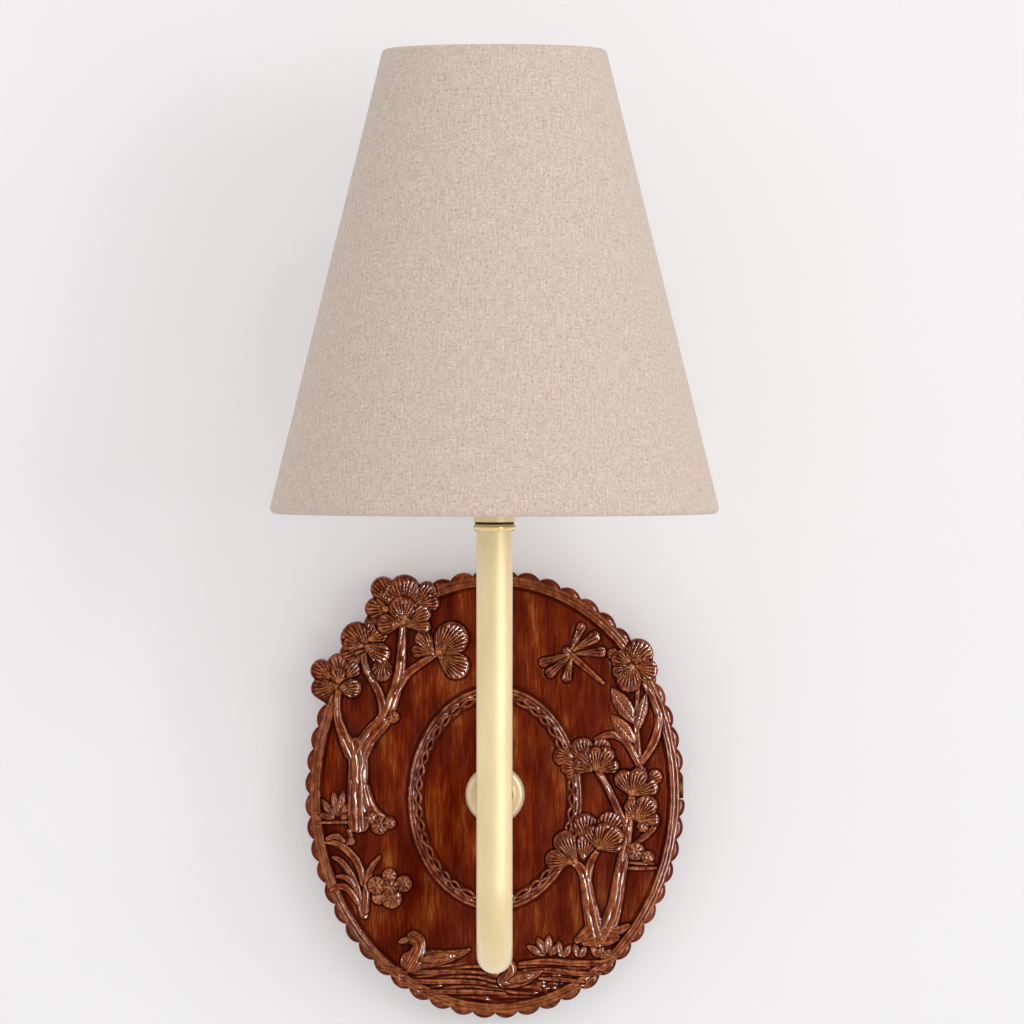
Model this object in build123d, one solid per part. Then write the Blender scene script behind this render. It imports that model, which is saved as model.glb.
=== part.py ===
from build123d import *
import math
import os

# A wall sconce: a carved oval wooden board on the wall, a bent brass tube arm that dips and
# rises again, and a tapered linen shade on a screw lampholder at the arm's top.
# Frame: the origin lies on the wall plane behind the arm's rosette, X to the right,
# Y into the wall and Z up, so the front of the sconce faces -Y.
# A depth is a distance out from the wall, so a point at depth d has y = -d.
# All sizes are in millimetres.

# Clearances shared by every fit
thread_clearance = 0.05  # radial room of a screwed or soldered joint
bore_clearance = 0.3  # radial room of a rod that passes through a hole
running_clearance = 0.06  # radial room of the shade ring on its thread
skin_gap = 0.1  # room between the shade's bonded layers
oval_steps = 3600  # samples that spread points evenly along an oval

# Carved board
board_width = 155.0  # over the scallop tips
board_height = 183.0
scallop_count = 56
scallop_rise = 2.0  # tip of a scallop above the valley beside it
lobe_width = 2.5  # scallop tip to the border's outer ridge
border_width = 4.0  # outer ridge to inner ridge
border_groove = 1.0
border_groove_depth = 0.9
ground_depth = 19.5  # wall to the flat ground of the carving
lobe_rise = 0.6  # front of the scallops above the ground
border_rise = 2.5
low_relief = 1.5  # waves, grass and stems above the ground
middle_relief = 2.3  # trunks, back leaves and birds
high_relief = 3.2  # front leaves and petals
relief_root = 1.0  # how far the relief starts below the ground

# Chain ring round the board's plain middle
ring_width = 71.2
ring_height = 91.6
ring_drop = 1.6  # its centre below the arm
ring_band = 6.5
ring_rise = 1.7
ring_groove = 0.9
ring_groove_inset = 1.5
chain_links = 40
chain_pit = 1.5
chain_inset = 4.3
chain_pit_depth = 0.9

# Hollow at the board's back
recess_depth = 14.0
recess_wall = 11.5  # wood left between the scallop valleys and the hollow

# Leaf fans of the carving: pivot x, pivot z, direction and spread in degrees, radius
overhang_fans = [
    (-37.0, 77.0, 90, 150, 12.0),
    (-41.0, 77.0, 128, 120, 10.5),
    (-43.0, 72.5, 150, 120, 10.0),
    (-30.0, 76.5, 62, 150, 9.2),
    (-53.0, 59.5, 108, 200, 10.8),
    (-66.0, 45.5, 140, 140, 9.8),
    (-61.0, 46.0, 88, 140, 8.8),
    (-64.5, 41.5, 176, 60, 10.0),
]
back_fans = [
    (-52.0, 58.0, -24, 90, 9.5),
    (-24.0, 58.0, 138, 90, 9.0),
    (35.0, 17.0, 96, 190, 8.6),
    (43.5, 16.5, 55, 170, 7.0),
    (31.5, 17.0, 172, 120, 7.6),
    (34.0, 11.0, 205, 120, 7.2),
    (53.5, 6.0, 128, 150, 6.6),
    (61.0, 4.0, 40, 130, 7.2),
    (38.0, -16.0, 102, 160, 7.6),
    (46.5, -14.0, 78, 170, 7.4),
    (31.0, -26.0, 186, 64, 10.5),
]
front_fans = [
    (-37.5, 68.0, 90, 196, 10.8),
    (-64.0, 41.5, 40, 150, 9.2),
    (-24.0, 57.5, 43, 78, 14.0),
    (-22.5, 55.5, -26, 84, 11.0),
    (41.0, 9.0, 98, 176, 9.6),
    (57.0, 1.0, 88, 150, 9.6),
    (56.5, -9.5, 42, 90, 10.0),
    (44.0, -21.0, 52, 100, 10.0),
    (31.0, -26.5, 112, 62, 12.5),
    (32.5, -26.0, 60, 50, 10.5),
]

# Trunks and branches of the carving: x, z and width along each one
trunks = [
    [(-53.5, -9.0, 10.0), (-55.0, 4.0, 8.2), (-55.0, 15.0, 8.0), (-56.5, 25.0, 7.5)],
    [(-55.0, -5.0, 7.0), (-49.0, -10.5, 6.0), (-42.0, -13.0, 4.0)],
    [(-57.0, 20.0, 6.0), (-62.0, 28.5, 4.0), (-64.0, 36.0, 3.2), (-64.0, 43.0, 2.4)],
    [(-56.0, 24.0, 5.0), (-48.5, 31.5, 3.6), (-46.0, 39.0, 3.2), (-48.5, 46.5, 3.0), (-53.0, 60.0, 2.2)],
    [(-54.0, 19.0, 7.0), (-45.0, 28.0, 5.2), (-41.0, 38.0, 4.6), (-38.0, 50.0, 3.8), (-37.5, 69.0, 2.4)],
    [(-40.0, 43.0, 4.0), (-34.0, 51.0, 3.0), (-24.0, 58.0, 2.4)],
    [(35.5, -63.0, 9.0), (38.0, -50.0, 6.4), (38.5, -40.0, 5.6), (36.0, -31.0, 4.2), (31.0, -25.0, 2.6)],
    [(38.0, -37.0, 4.4), (40.0, -28.0, 3.4), (44.5, -20.5, 2.4)],
    [(45.5, -57.0, 8.0), (49.5, -45.0, 5.4), (51.5, -28.0, 5.2), (54.5, -13.0, 4.6), (57.0, 2.0, 2.6)],
    [(54.0, -15.0, 4.0), (49.0, -4.0, 3.2), (41.5, 9.5, 2.4)],
]
stems = [
    [(59.5, 12.0, 3.4), (57.0, 25.0, 2.6), (57.0, 36.0, 2.2), (57.5, 47.0, 1.8)],
    [(61.0, 16.0, 3.4), (65.5, 26.0, 3.2), (65.5, 35.0, 2.8), (62.0, 46.0, 2.0)],
    [(40.5, 22.0, 2.2), (48.0, 24.0, 3.2), (54.0, 19.0, 3.2), (58.5, 11.0, 3.0)],
    [(56.0, -19.0, 2.0), (61.0, -16.0, 3.0), (66.0, -12.0, 2.0)],
    [(-54.0, -48.0, 4.0), (-55.0, -37.0, 3.0), (-61.0, -23.0, 2.8), (-69.0, -18.5, 2.4)],
    [(-54.5, -41.0, 2.6), (-58.0, -31.0, 2.6), (-66.0, -28.0, 2.0)],
    [(-55.0, -45.0, 2.6), (-59.0, -37.5, 2.8), (-66.0, -38.0, 2.0)],
    [(-53.5, -38.0, 2.8), (-51.0, -29.0, 2.6), (-47.0, -25.0, 1.8)],
    [(-53.0, -46.0, 2.8), (-51.0, -37.0, 2.8), (-48.5, -32.5, 1.8)],
    [(29.5, 58.5, 3.4), (34.0, 54.0, 2.8), (43.0, 45.0, 1.6)],
]

# Lens leaves and wings of the carving: start x, start z, end x, end z, width
leaves = [
    (47.0, 44.0, 57.0, 27.0, 5.4),
    (48.0, 33.0, 57.0, 23.5, 4.8),
    (61.5, 42.0, 57.0, 26.0, 4.2),
    (30.5, 57.5, 18.5, 53.0, 3.8),
    (31.0, 55.5, 22.0, 48.0, 4.6),
    (31.0, 59.5, 36.0, 70.5, 3.6),
    (31.5, 59.0, 44.0, 66.5, 5.0),
    (33.0, 57.0, 46.0, 58.5, 4.0),
    (-64.5, -9.0, -71.0, -2.0, 3.4),
    (-64.5, -9.5, -72.0, -8.0, 3.0),
    (-64.0, -9.0, -62.0, 1.0, 3.4),
    (-63.5, -9.0, -57.5, -3.0, 3.4),
    (24.0, -68.0, 12.5, -61.5, 4.0),
    (24.5, -68.0, 20.0, -58.0, 4.0),
    (25.0, -68.0, 27.0, -59.0, 4.0),
    (32.0, -69.0, 31.0, -59.5, 4.0),
    (41.0, -68.0, 40.0, -60.0, 3.6),
    (41.5, -68.0, 46.0, -61.5, 3.6),
]

# Birds on the water: lens bodies and beak as above
bird_bodies = [
    (-37.0, -70.0, -9.5, -63.5, 10.5),
    (-34.5, -59.0, -40.5, -62.0, 3.0),
    (0.0, -76.0, 18.0, -72.0, 8.0),
]
bird_necks = [
    [(-33.5, -70.0, 8.0), (-31.5, -64.0, 6.0), (-32.5, -59.0, 6.0)],
    [(6.0, -75.0, 5.0), (7.5, -70.0, 4.0)],
]

# Water and shore lines of the carving
waves = [
    [(-48.0, -67.5, 1.6), (-36.0, -67.0, 2.0)],
    [(-44.0, -74.0, 1.6), (-26.0, -76.0, 2.2), (-8.0, -74.5, 2.0), (2.0, -76.5, 1.4)],
    [(-36.0, -79.5, 1.6), (-18.0, -80.0, 2.2), (0.0, -80.5, 2.2), (20.0, -78.5, 1.6)],
    [(12.0, -70.5, 1.8), (27.0, -73.0, 2.4), (43.0, -73.5, 1.6)],
]

# Round petals and berries of the carving: x, z, radius; the first ones reach past the oval
overhang_petals = [(58.0, 57.5, 6.4), (61.5, 50.5, 4.6)]
petals = [(50.0, 57.0, 5.0), (54.0, 47.5, 5.2), (49.5, 51.0, 3.6)]
berries = [
    (-46.0, 50.0, 3.8),
    (-59.0, -15.5, 2.4),
    (-46.0, -37.0, 4.2),
    (-42.5, -31.5, 2.8),
    (-38.0, -36.0, 3.2),
    (-42.5, -42.5, 3.8),
    (59.5, -13.0, 2.6),
    (57.5, -23.0, 4.2),
    (62.0, -26.0, 3.0),
    (-33.0, -58.5, 3.8),
    (7.5, -69.5, 3.0),
]

# Steel crossbar on the wall
strap_width = 22.0
strap_thickness = 2.0
strap_bridge_depth = 9.0  # wall to the back of the raised middle
strap_bridge = 42.0  # length of the raised middle
strap_ramp = 7.0  # run of each slope beside it
strap_foot = 33.0  # flat foot from slope to end
ear_height = 12.5
wall_slot_spacing = 82.0
wall_slot_length = 16.0
wall_slot_width = 4.6

# Screw in the board's right edge
lock_screw_height = 2.0
lock_screw_depth = 7.0
lock_screw_diameter = 4.0
lock_head_diameter = 8.5
lock_head_height = 1.8
lock_notch_depth = 2.4  # flat cut in from the scallop tips
lock_notch_margin = 0.6
lock_screw_end = 4.0  # screw past the ear
screw_slot_width = 1.0
screw_slot_depth = 0.8

# Hollow threaded rod, nuts and washer on both ends of the arm
rod_diameter = 10.0
rod_bore = 7.0
nut_width = 14.0
nut_height = 2.7
washer_diameter = 15.0
washer_thickness = 0.8
rod_past_nut = 0.5

# Rosette and arm tube
rosette_diameter = 24.5
rosette_thickness = 2.8
rosette_edge = 1.2
rosette_collar_diameter = 17.2
rosette_collar_height = 1.8
rosette_collar_edge = 0.6
tube_diameter = 14.3
tube_wall = 1.2
arm_stub = 7.7  # straight tube in front of the rosette
bend_radius = 30.0
bend_joint = 0.4  # straight between two bends
leg_top = 109.0  # top of the rising leg above the rosette's axis
base_bush_length = 7.2
top_bush_length = 11.0
rod_in_bush = 6.5

# Collar, washer and cup under the shade
collar_diameter = 17.0
collar_height = 2.8
collar_roundness = 0.45  # edge radius as a share of the collar's height
gap_washer_diameter = 15.4
gap_washer_thickness = 0.8
cup_neck_diameter = 16.4
cup_neck_height = 2.6
cup_diameter = 41.0
cup_flare_height = 9.0
cup_rim_height = 12.0
cup_wall = 1.2

# Lampholder
holder_base_wall = 1.6
holder_base_boss = 16.0
holder_base_boss_height = 5.0
holder_base_clearance = 0.8
holder_base_height = 17.9
holder_diameter = 39.0
holder_bore = 30.0
holder_height = 41.0
holder_ledge_bore = 24.0
holder_ledge = 2.0
shoulder_diameter = 44.0
shoulder_thickness = 2.0
shoulder_height = 13.0  # top of the shoulder above the holder's foot
core_thickness = 6.0
shell_bore = 26.6
shell_wall = 0.5
shell_height = 25.0
contact_diameter = 6.0
contact_height = 3.2
contact_edge = 0.8
terminal_spacing = 17.0
terminal_screw_diameter = 3.0
terminal_head_diameter = 5.0
terminal_head_height = 1.8
terminal_screw_grip = 4.0

# Bulb
tip_diameter = 9.6
tip_height = 1.4
bulb_insulator_height = 3.4
bulb_insulator_top = 24.0
cap_diameter = 26.0
cap_wall = 0.4
cap_height = 24.0
glass_wall = 0.8
glass_neck = 24.4
glass_neck_depth = 20.0
glass_throat = 29.0
glass_throat_rise = 3.5
bulb_diameter = 60.0
bulb_centre_rise = 50.0  # widest point above the cap
bulb_lean = 26.0  # degrees below the widest point where the neck's curve starts

# Shade and its frame
shade_bottom_diameter = 178.0
shade_top_diameter = 88.0
shade_height = 182.7
fabric_thickness = 0.7
liner_thickness = 0.5
shade_wire = 3.0
hem_height = 5.0
fitter_drop = 34.2  # fitter above the shade's bottom edge
fitter_clearance = 0.4
fitter_diameter = 52.0
fitter_thickness = 2.0
shade_ring_height = 9.0
shade_ring_wall = 3.0
shade_ring_notches = 18
shade_ring_notch = 1.6
spoke_count = 3
spoke_diameter = 2.6
spoke_first_angle = 90.0

# Wiring
wire_diameter = 1.8
wire_offset = 1.3  # each of the pair from the tube's centre line
wire_turn = 2.6  # bend behind the rod
wire_bend = 4.0
wire_in_barrel = 6.0
terminal_poles = 3
pole_pitch = 10.0
block_width = 33.0
block_height = 17.0
block_depth = 11.0
block_bottom = 24.0  # above the rosette's axis
barrel_diameter = 5.6
barrel_bore = 3.2
barrel_depth = 7.0  # wall to the barrels' axis
block_screw_diameter = 2.6
block_screw_length = 3.0
block_screw_slot = 0.5
block_screw_inset = 4.5  # from the block's top and bottom
mount_screw_diameter = 2.6
mount_screw_head = 4.6
mount_screw_head_height = 1.6
mount_screw_grip = 3.6  # length in the wood
ground_screw_x = 16.0
ground_screw_diameter = 4.0
ground_head_diameter = 7.0
ground_head_height = 2.4
lug_diameter = 8.4
lug_thickness = 0.8
lug_barrel_diameter = 3.4
lug_barrel_length = 6.0

# Derived places along the depth from the wall
half_width = board_width / 2
half_height = board_height / 2
valley_inset = scallop_rise
ridge_depth = ground_depth + border_rise
bridge_front = strap_bridge_depth + strap_thickness
rod_back = strap_bridge_depth - washer_thickness - nut_height - rod_past_nut
rosette_front = ground_depth + rosette_thickness
stub_end = rosette_front + arm_stub
lamp_depth = stub_end + 3 * bend_radius + bend_joint
lowest_axis = -(2 * bend_radius + bend_joint)
first_drop_depth = stub_end + bend_radius
tube_bore = tube_diameter - 2 * tube_wall
strap_half = strap_bridge / 2 + strap_ramp + strap_foot

# Derived heights on the lamp's axis
collar_top = leg_top + collar_height
cup_foot = collar_top + gap_washer_thickness
cup_neck_top = cup_foot + cup_neck_height
cup_floor = cup_neck_top + cup_wall
cup_flare_top = cup_neck_top + cup_flare_height
cup_top = cup_flare_top + cup_rim_height
nut_corner = nut_width / math.sqrt(3)
cup_floor_radius = nut_corner + bore_clearance
holder_nut_top = cup_floor + nut_height
holder_foot = holder_nut_top + holder_base_height
holder_top = holder_foot + holder_height
seat_height = holder_foot + shoulder_height
core_foot = holder_foot + holder_ledge
core_top = core_foot + core_thickness
contact_top = core_top + contact_height
bulb_insulator_foot = contact_top + tip_height
cap_foot = bulb_insulator_foot + bulb_insulator_height
cap_top = cap_foot + cap_height
bulb_centre = cap_top + bulb_centre_rise
shade_bottom = seat_height - fitter_drop
shade_top = shade_bottom + shade_height
hem_width = shade_wire + 2 * skin_gap + 2 * fabric_thickness
rod_bore_radius = rod_diameter / 2 + thread_clearance
rod_hole_radius = rod_diameter / 2 + bore_clearance


def on_wall(shape):
    """Turn a shape drawn as x, z and depth into the sconce's frame."""
    return Plane.XZ * shape


def on_lamp(shape):
    """Move a shape built round Z to the lamp's axis."""
    return Pos(0, -lamp_depth, 0) * shape


def pipe(outer_radius, inner_radius, start, end):
    """A plain ring about Z from one height to another."""
    outer = Cylinder(outer_radius, end - start, align=(Align.CENTER, Align.CENTER, Align.MIN))
    inner = Cylinder(inner_radius, end - start, align=(Align.CENTER, Align.CENTER, Align.MIN))
    return Pos(0, 0, start) * (outer - inner)


def peg(radius, start, end):
    """A plain round rod about Z from one height to another."""
    return Pos(0, 0, start) * Cylinder(radius, end - start, align=(Align.CENTER, Align.CENTER, Align.MIN))


def turned(points):
    """A shape turned about Z from an outline of radius and height."""
    outline = make_face(Polyline(*points, close=True))
    return revolve(Plane.XZ * outline, Axis.Z)


def hexagon_nut(start, bore_radius):
    """A thin lock nut about Z."""
    hexagon = RegularPolygon(nut_width / 2, 6, major_radius=False) - Circle(bore_radius)
    return extrude(Pos(0, 0, start) * hexagon, nut_height)


def slotted_screw(diameter, length, head_diameter, head_height):
    """A screw about Z: its head lies below zero and its shank runs up."""
    head = peg(head_diameter / 2, -head_height, 0)
    slot = Pos(0, 0, -head_height) * Box(
        2 * head_diameter,
        screw_slot_width,
        screw_slot_depth,
        align=(Align.CENTER, Align.CENTER, Align.MIN),
    )
    return head - slot + peg(diameter / 2, 0, length)


def ellipse_angles(wide, high, count):
    """Angles of points that lie evenly along an ellipse."""
    lengths = [0.0]
    for step in range(oval_steps):
        angle = 2 * math.pi * (step + 0.5) / oval_steps
        speed = math.hypot(wide * math.sin(angle), high * math.cos(angle))
        lengths.append(lengths[-1] + speed)
    angles = []
    step = 0
    for index in range(count):
        while lengths[step] < lengths[-1] * index / count:
            step += 1
        angles.append(2 * math.pi * step / oval_steps)
    return angles


def oval_point(inset, angle):
    """A point of the board's oval, moved in from the scallop tips."""
    return ((half_width - inset) * math.cos(angle), (half_height - inset) * math.sin(angle))


def oval(inset):
    return Ellipse(half_width - inset, half_height - inset)


def ring_oval(inset):
    return Pos(0, -ring_drop) * Ellipse(ring_width / 2 - inset, ring_height / 2 - inset)


def scalloped_oval():
    """The board's outline: one arc for each scallop."""
    angles = ellipse_angles(half_width, half_height, 2 * scallop_count)
    arcs = []
    for index in range(scallop_count):
        start = angles[2 * index]
        tip = angles[2 * index + 1]
        end = angles[(2 * index + 2) % len(angles)]
        arcs.append(
            ThreePointArc(
                oval_point(valley_inset, start), oval_point(0, tip), oval_point(valley_inset, end)
            )
        )
    return make_face(arcs)


def fan(x, z, direction, spread, radius):
    """One leaf fan: a sector of a disc round its pivot."""
    rim = []
    for share in (-0.5, 0.0, 0.5):
        angle = math.radians(direction + share * spread)
        rim.append((x + radius * math.cos(angle), z + radius * math.sin(angle)))
    pivot = (x, z)
    return make_face([Line(pivot, rim[0]), ThreePointArc(*rim), Line(rim[2], pivot)])


def stroke(points):
    """A flat stroke through points of x, z and width."""
    left = []
    right = []
    last = len(points) - 1
    for index, (x, z, width) in enumerate(points):
        before = points[max(index - 1, 0)]
        after = points[min(index + 1, last)]
        run = math.hypot(after[0] - before[0], after[1] - before[1])
        side_x = -(after[1] - before[1]) / run * width / 2
        side_z = (after[0] - before[0]) / run * width / 2
        left.append((x + side_x, z + side_z))
        right.append((x - side_x, z - side_z))
    return make_face(Polyline(*left, *reversed(right), close=True))


def lens(x0, z0, x1, z1, width):
    """A leaf between two points, bounded by two arcs."""
    run = math.hypot(x1 - x0, z1 - z0)
    side_x = -(z1 - z0) / run * width / 2
    side_z = (x1 - x0) / run * width / 2
    middle_x = (x0 + x1) / 2
    middle_z = (z0 + z1) / 2
    upper = ThreePointArc((x0, z0), (middle_x + side_x, middle_z + side_z), (x1, z1))
    lower = ThreePointArc((x1, z1), (middle_x - side_x, middle_z - side_z), (x0, z0))
    return make_face([upper, lower])


def disc(x, z, radius):
    return Pos(x, z) * Circle(radius)


def slab(face, start, end):
    """A flat face of the board, grown from one depth to another."""
    return extrude(Pos(0, 0, start) * face, end - start)


def raised(faces, rise):
    """Carved pieces of one height, joined and grown out of the board."""
    return slab(faces[0] + faces[1:], ground_depth - relief_root, ground_depth + rise)


def carving():
    """The relief, in three heights."""
    low = [stroke(line) for line in stems + waves] + [lens(*leaf) for leaf in leaves]
    middle = [stroke(line) for line in trunks + bird_necks]
    middle += [lens(*body) for body in bird_bodies]
    middle += [fan(*leaf) for leaf in overhang_fans + back_fans]
    middle += [disc(*petal) for petal in overhang_petals + berries]
    high = [fan(*leaf) for leaf in front_fans] + [disc(*petal) for petal in petals]
    return [raised(low, low_relief), raised(middle, middle_relief), raised(high, high_relief)]


def border():
    """The double-ridged band inside the scallops."""
    inner = lobe_width + border_width
    band = oval(lobe_width) - oval(inner)
    groove_inset = lobe_width + border_width / 2 - border_groove / 2
    groove = oval(groove_inset) - oval(groove_inset + border_groove)
    groove_floor = ridge_depth - border_groove_depth
    body = slab(band, ground_depth - relief_root, groove_floor)
    ridges = slab(band - groove, groove_floor, ridge_depth)
    return [body, ridges]


def chain_ring():
    """The oval ring round the plain middle, with a groove and the pits of its chain."""
    crest = ground_depth + ring_rise
    floor = crest - chain_pit_depth
    band = ring_oval(0) - ring_oval(ring_band)
    groove = ring_oval(ring_groove_inset) - ring_oval(ring_groove_inset + ring_groove)
    wide = ring_width / 2 - chain_inset
    high = ring_height / 2 - chain_inset
    pits = []
    for angle in ellipse_angles(wide, high, chain_links):
        pits.append(disc(wide * math.cos(angle), high * math.sin(angle) - ring_drop, chain_pit / 2))
    body = slab(band, ground_depth - relief_root, floor)
    chain = slab(band - groove - pits, floor, crest)
    return [body, chain]


def build_backplate():
    outline = scalloped_oval() + [fan(*leaf) for leaf in overhang_fans]
    outline += [disc(*petal) for petal in overhang_petals]
    lobes = outline - oval(lobe_width + border_width / 2)
    board = slab(outline, 0, ground_depth)
    board += [slab(lobes, ground_depth, ground_depth + lobe_rise)] + border() + chain_ring() + carving()
    notch = Box(
        board_width,
        lock_head_diameter + 2 * lock_notch_margin,
        2 * (ground_depth + high_relief),
        align=(Align.MIN, Align.CENTER, Align.CENTER),
    )
    lock_hole = Cylinder(
        lock_screw_diameter / 2 + bore_clearance,
        half_width,
        rotation=(0, 90, 0),
        align=(Align.CENTER, Align.CENTER, Align.MIN),
    )
    pilot = peg(
        mount_screw_diameter / 2 + thread_clearance,
        recess_depth - relief_root,
        recess_depth + mount_screw_grip,
    )
    cuts = [slab(oval(valley_inset + recess_wall), 0, recess_depth)]
    cuts.append(peg(rod_hole_radius, 0, ground_depth))
    cuts.append(Pos(half_width - lock_notch_depth, lock_screw_height, 0) * notch)
    cuts.append(Pos(strap_half, lock_screw_height, lock_screw_depth) * lock_hole)
    cuts += [place * pilot for place in mount_screw_places()]
    return on_wall(board - cuts)


def build_crossbar():
    half = strap_half
    foot = strap_bridge / 2 + strap_ramp
    bridge = strap_bridge / 2
    side = [
        (foot, strap_thickness),
        (half - strap_thickness, strap_thickness),
        (half - strap_thickness, ear_height),
        (half, ear_height),
        (half, 0),
        (foot, 0),
        (bridge, strap_bridge_depth),
    ]
    mirrored = [(-x, depth) for x, depth in reversed(side)]
    outline = [(bridge, bridge_front)] + side + mirrored + [(-bridge, bridge_front)]
    profile = make_face(Polyline(*[(x, -depth) for x, depth in outline], close=True))
    strap = Pos(0, 0, -strap_width / 2) * extrude(profile, strap_width)
    slot = extrude(SlotOverall(wall_slot_length, wall_slot_width), strap_thickness)
    cuts = [on_wall(Pos(x, 0, 0) * slot) for x in (-wall_slot_spacing / 2, wall_slot_spacing / 2)]
    cuts.append(on_wall(peg(rod_bore_radius, 0, bridge_front)))
    ground_hole = peg(ground_screw_diameter / 2 + thread_clearance, 0, bridge_front)
    cuts.append(on_wall(Pos(ground_screw_x, 0, 0) * ground_hole))
    ear_hole = Cylinder(
        lock_screw_diameter / 2 + thread_clearance, 2 * strap_thickness, rotation=(0, 90, 0)
    )
    ear_middle = half - strap_thickness / 2
    for x in (-ear_middle, ear_middle):
        cuts.append(on_wall(Pos(x, lock_screw_height, lock_screw_depth) * ear_hole))
    return strap - cuts


def build_side_lock_screw():
    seat = half_width - lock_notch_depth
    length = seat - strap_half + strap_thickness + lock_screw_end
    screw = slotted_screw(lock_screw_diameter, length, lock_head_diameter, lock_head_height)
    return Pos(seat, -lock_screw_depth, lock_screw_height) * (Rot(0, -90, 0) * screw)


def build_nipple():
    return on_wall(pipe(rod_diameter / 2, rod_bore / 2, rod_back, rosette_front + rod_in_bush))


def build_nipple_washer():
    return on_wall(
        pipe(
            washer_diameter / 2,
            rod_bore_radius,
            strap_bridge_depth - washer_thickness,
            strap_bridge_depth,
        )
    )


def build_nipple_nut():
    return on_wall(hexagon_nut(rod_back + rod_past_nut, rod_bore_radius))


def build_rosette():
    plate = peg(rosette_diameter / 2, ground_depth, rosette_front)
    plate = fillet(plate.edges().group_by(Axis.Z)[-1], rosette_edge)
    return on_wall(plate - peg(rod_bore_radius, ground_depth, rosette_front))


def build_rosette_collar():
    ring = peg(rosette_collar_diameter / 2, rosette_front, rosette_front + rosette_collar_height)
    ring = fillet(ring.edges().group_by(Axis.Z)[-1], rosette_collar_edge)
    bore = peg(
        tube_diameter / 2 + thread_clearance, rosette_front, rosette_front + rosette_collar_height
    )
    return on_wall(ring - bore)


def arm_path(start_depth, end_height, x):
    """The arm's centre line: out, down through one bend, round and up."""
    points = [
        (x, -start_depth, 0),
        (x, -first_drop_depth, 0),
        (x, -first_drop_depth, lowest_axis),
        (x, -lamp_depth, lowest_axis),
        (x, -lamp_depth, end_height),
    ]
    return FilletPolyline(*points, radius=bend_radius)


def build_arm_tube():
    path = arm_path(rosette_front, leg_top, 0)
    section = Circle(tube_diameter / 2) - Circle(tube_bore / 2)
    start = Plane(origin=(0, -rosette_front, 0), x_dir=(1, 0, 0), z_dir=(0, -1, 0))
    return sweep(start * section, path=path)


def build_arm_base_bush():
    outer = tube_bore / 2 - thread_clearance
    return on_wall(pipe(outer, rod_bore_radius, rosette_front, rosette_front + base_bush_length))


def build_tube_top_bush():
    outer = tube_bore / 2 - thread_clearance
    return on_lamp(pipe(outer, rod_bore_radius, leg_top - top_bush_length, leg_top))


def build_tube_collar():
    ring = peg(collar_diameter / 2, leg_top, collar_top)
    ring = fillet(ring.edges(), collar_roundness * collar_height)
    return on_lamp(ring - peg(rod_bore_radius, leg_top, collar_top))


def build_gap_washer():
    return on_lamp(pipe(gap_washer_diameter / 2, rod_bore_radius, collar_top, cup_foot))


def build_socket_cup():
    outer = cup_diameter / 2
    inner = outer - cup_wall
    return on_lamp(
        turned(
            [
                (rod_bore_radius, cup_foot),
                (cup_neck_diameter / 2, cup_foot),
                (cup_neck_diameter / 2, cup_neck_top),
                (outer, cup_flare_top),
                (outer, cup_top),
                (inner, cup_top),
                (inner, cup_flare_top + cup_wall / 2),
                (cup_floor_radius, cup_floor),
                (rod_bore_radius, cup_floor),
            ]
        )
    )


def build_lampholder_nipple():
    return on_lamp(
        pipe(
            rod_diameter / 2,
            rod_bore / 2,
            leg_top - rod_in_bush,
            holder_nut_top + holder_base_boss_height,
        )
    )


def build_lampholder_locknut():
    return on_lamp(hexagon_nut(cup_floor, rod_bore_radius))


def build_lampholder_base():
    outer = cup_diameter / 2 - cup_wall - holder_base_clearance
    flare_top = cup_flare_top + cup_wall
    boss_top = holder_nut_top + holder_base_boss_height
    boss = holder_base_boss / 2
    foot = cup_floor_radius + (holder_nut_top - cup_floor)
    return on_lamp(
        turned(
            [
                (rod_bore_radius, holder_nut_top),
                (foot, holder_nut_top),
                (outer, flare_top + holder_base_clearance),
                (outer, holder_foot),
                (outer - holder_base_wall, holder_foot),
                (outer - holder_base_wall, flare_top + 2 * holder_base_wall),
                (boss, holder_nut_top + holder_base_wall),
                (boss, boss_top),
                (rod_bore_radius, boss_top),
            ]
        )
    )


def build_lampholder_body():
    outer = holder_diameter / 2
    shoulder = shoulder_diameter / 2
    return on_lamp(
        turned(
            [
                (holder_ledge_bore / 2, holder_foot),
                (outer, holder_foot),
                (outer, seat_height - shoulder_thickness),
                (shoulder, seat_height - shoulder_thickness),
                (shoulder, seat_height),
                (outer, seat_height),
                (outer, holder_top),
                (holder_bore / 2, holder_top),
                (holder_bore / 2, core_foot),
                (holder_ledge_bore / 2, core_foot),
            ]
        )
    )


def terminal_places():
    return [Pos(x, 0, 0) for x in (-terminal_spacing / 2, terminal_spacing / 2)]


def build_lampholder_insulator():
    core = peg(holder_bore / 2 - thread_clearance, core_foot, core_top)
    hole = peg(
        terminal_screw_diameter / 2 + thread_clearance, core_foot, core_foot + terminal_screw_grip
    )
    return on_lamp(core - [place * hole for place in terminal_places()])


def build_screw_shell():
    inner = shell_bore / 2
    return on_lamp(pipe(inner + shell_wall, inner, core_top, core_top + shell_height))


def build_centre_contact():
    contact = peg(contact_diameter / 2, core_top, contact_top)
    return on_lamp(fillet(contact.edges().group_by(Axis.Z)[-1], contact_edge))


def build_terminal_screws():
    screw = slotted_screw(
        terminal_screw_diameter, terminal_screw_grip, terminal_head_diameter, terminal_head_height
    )
    screws = [on_lamp(Pos(0, 0, core_foot) * place * screw) for place in terminal_places()]
    return Compound(children=screws)


def build_bulb_tip_contact():
    return on_lamp(peg(tip_diameter / 2, contact_top, bulb_insulator_foot))


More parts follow.
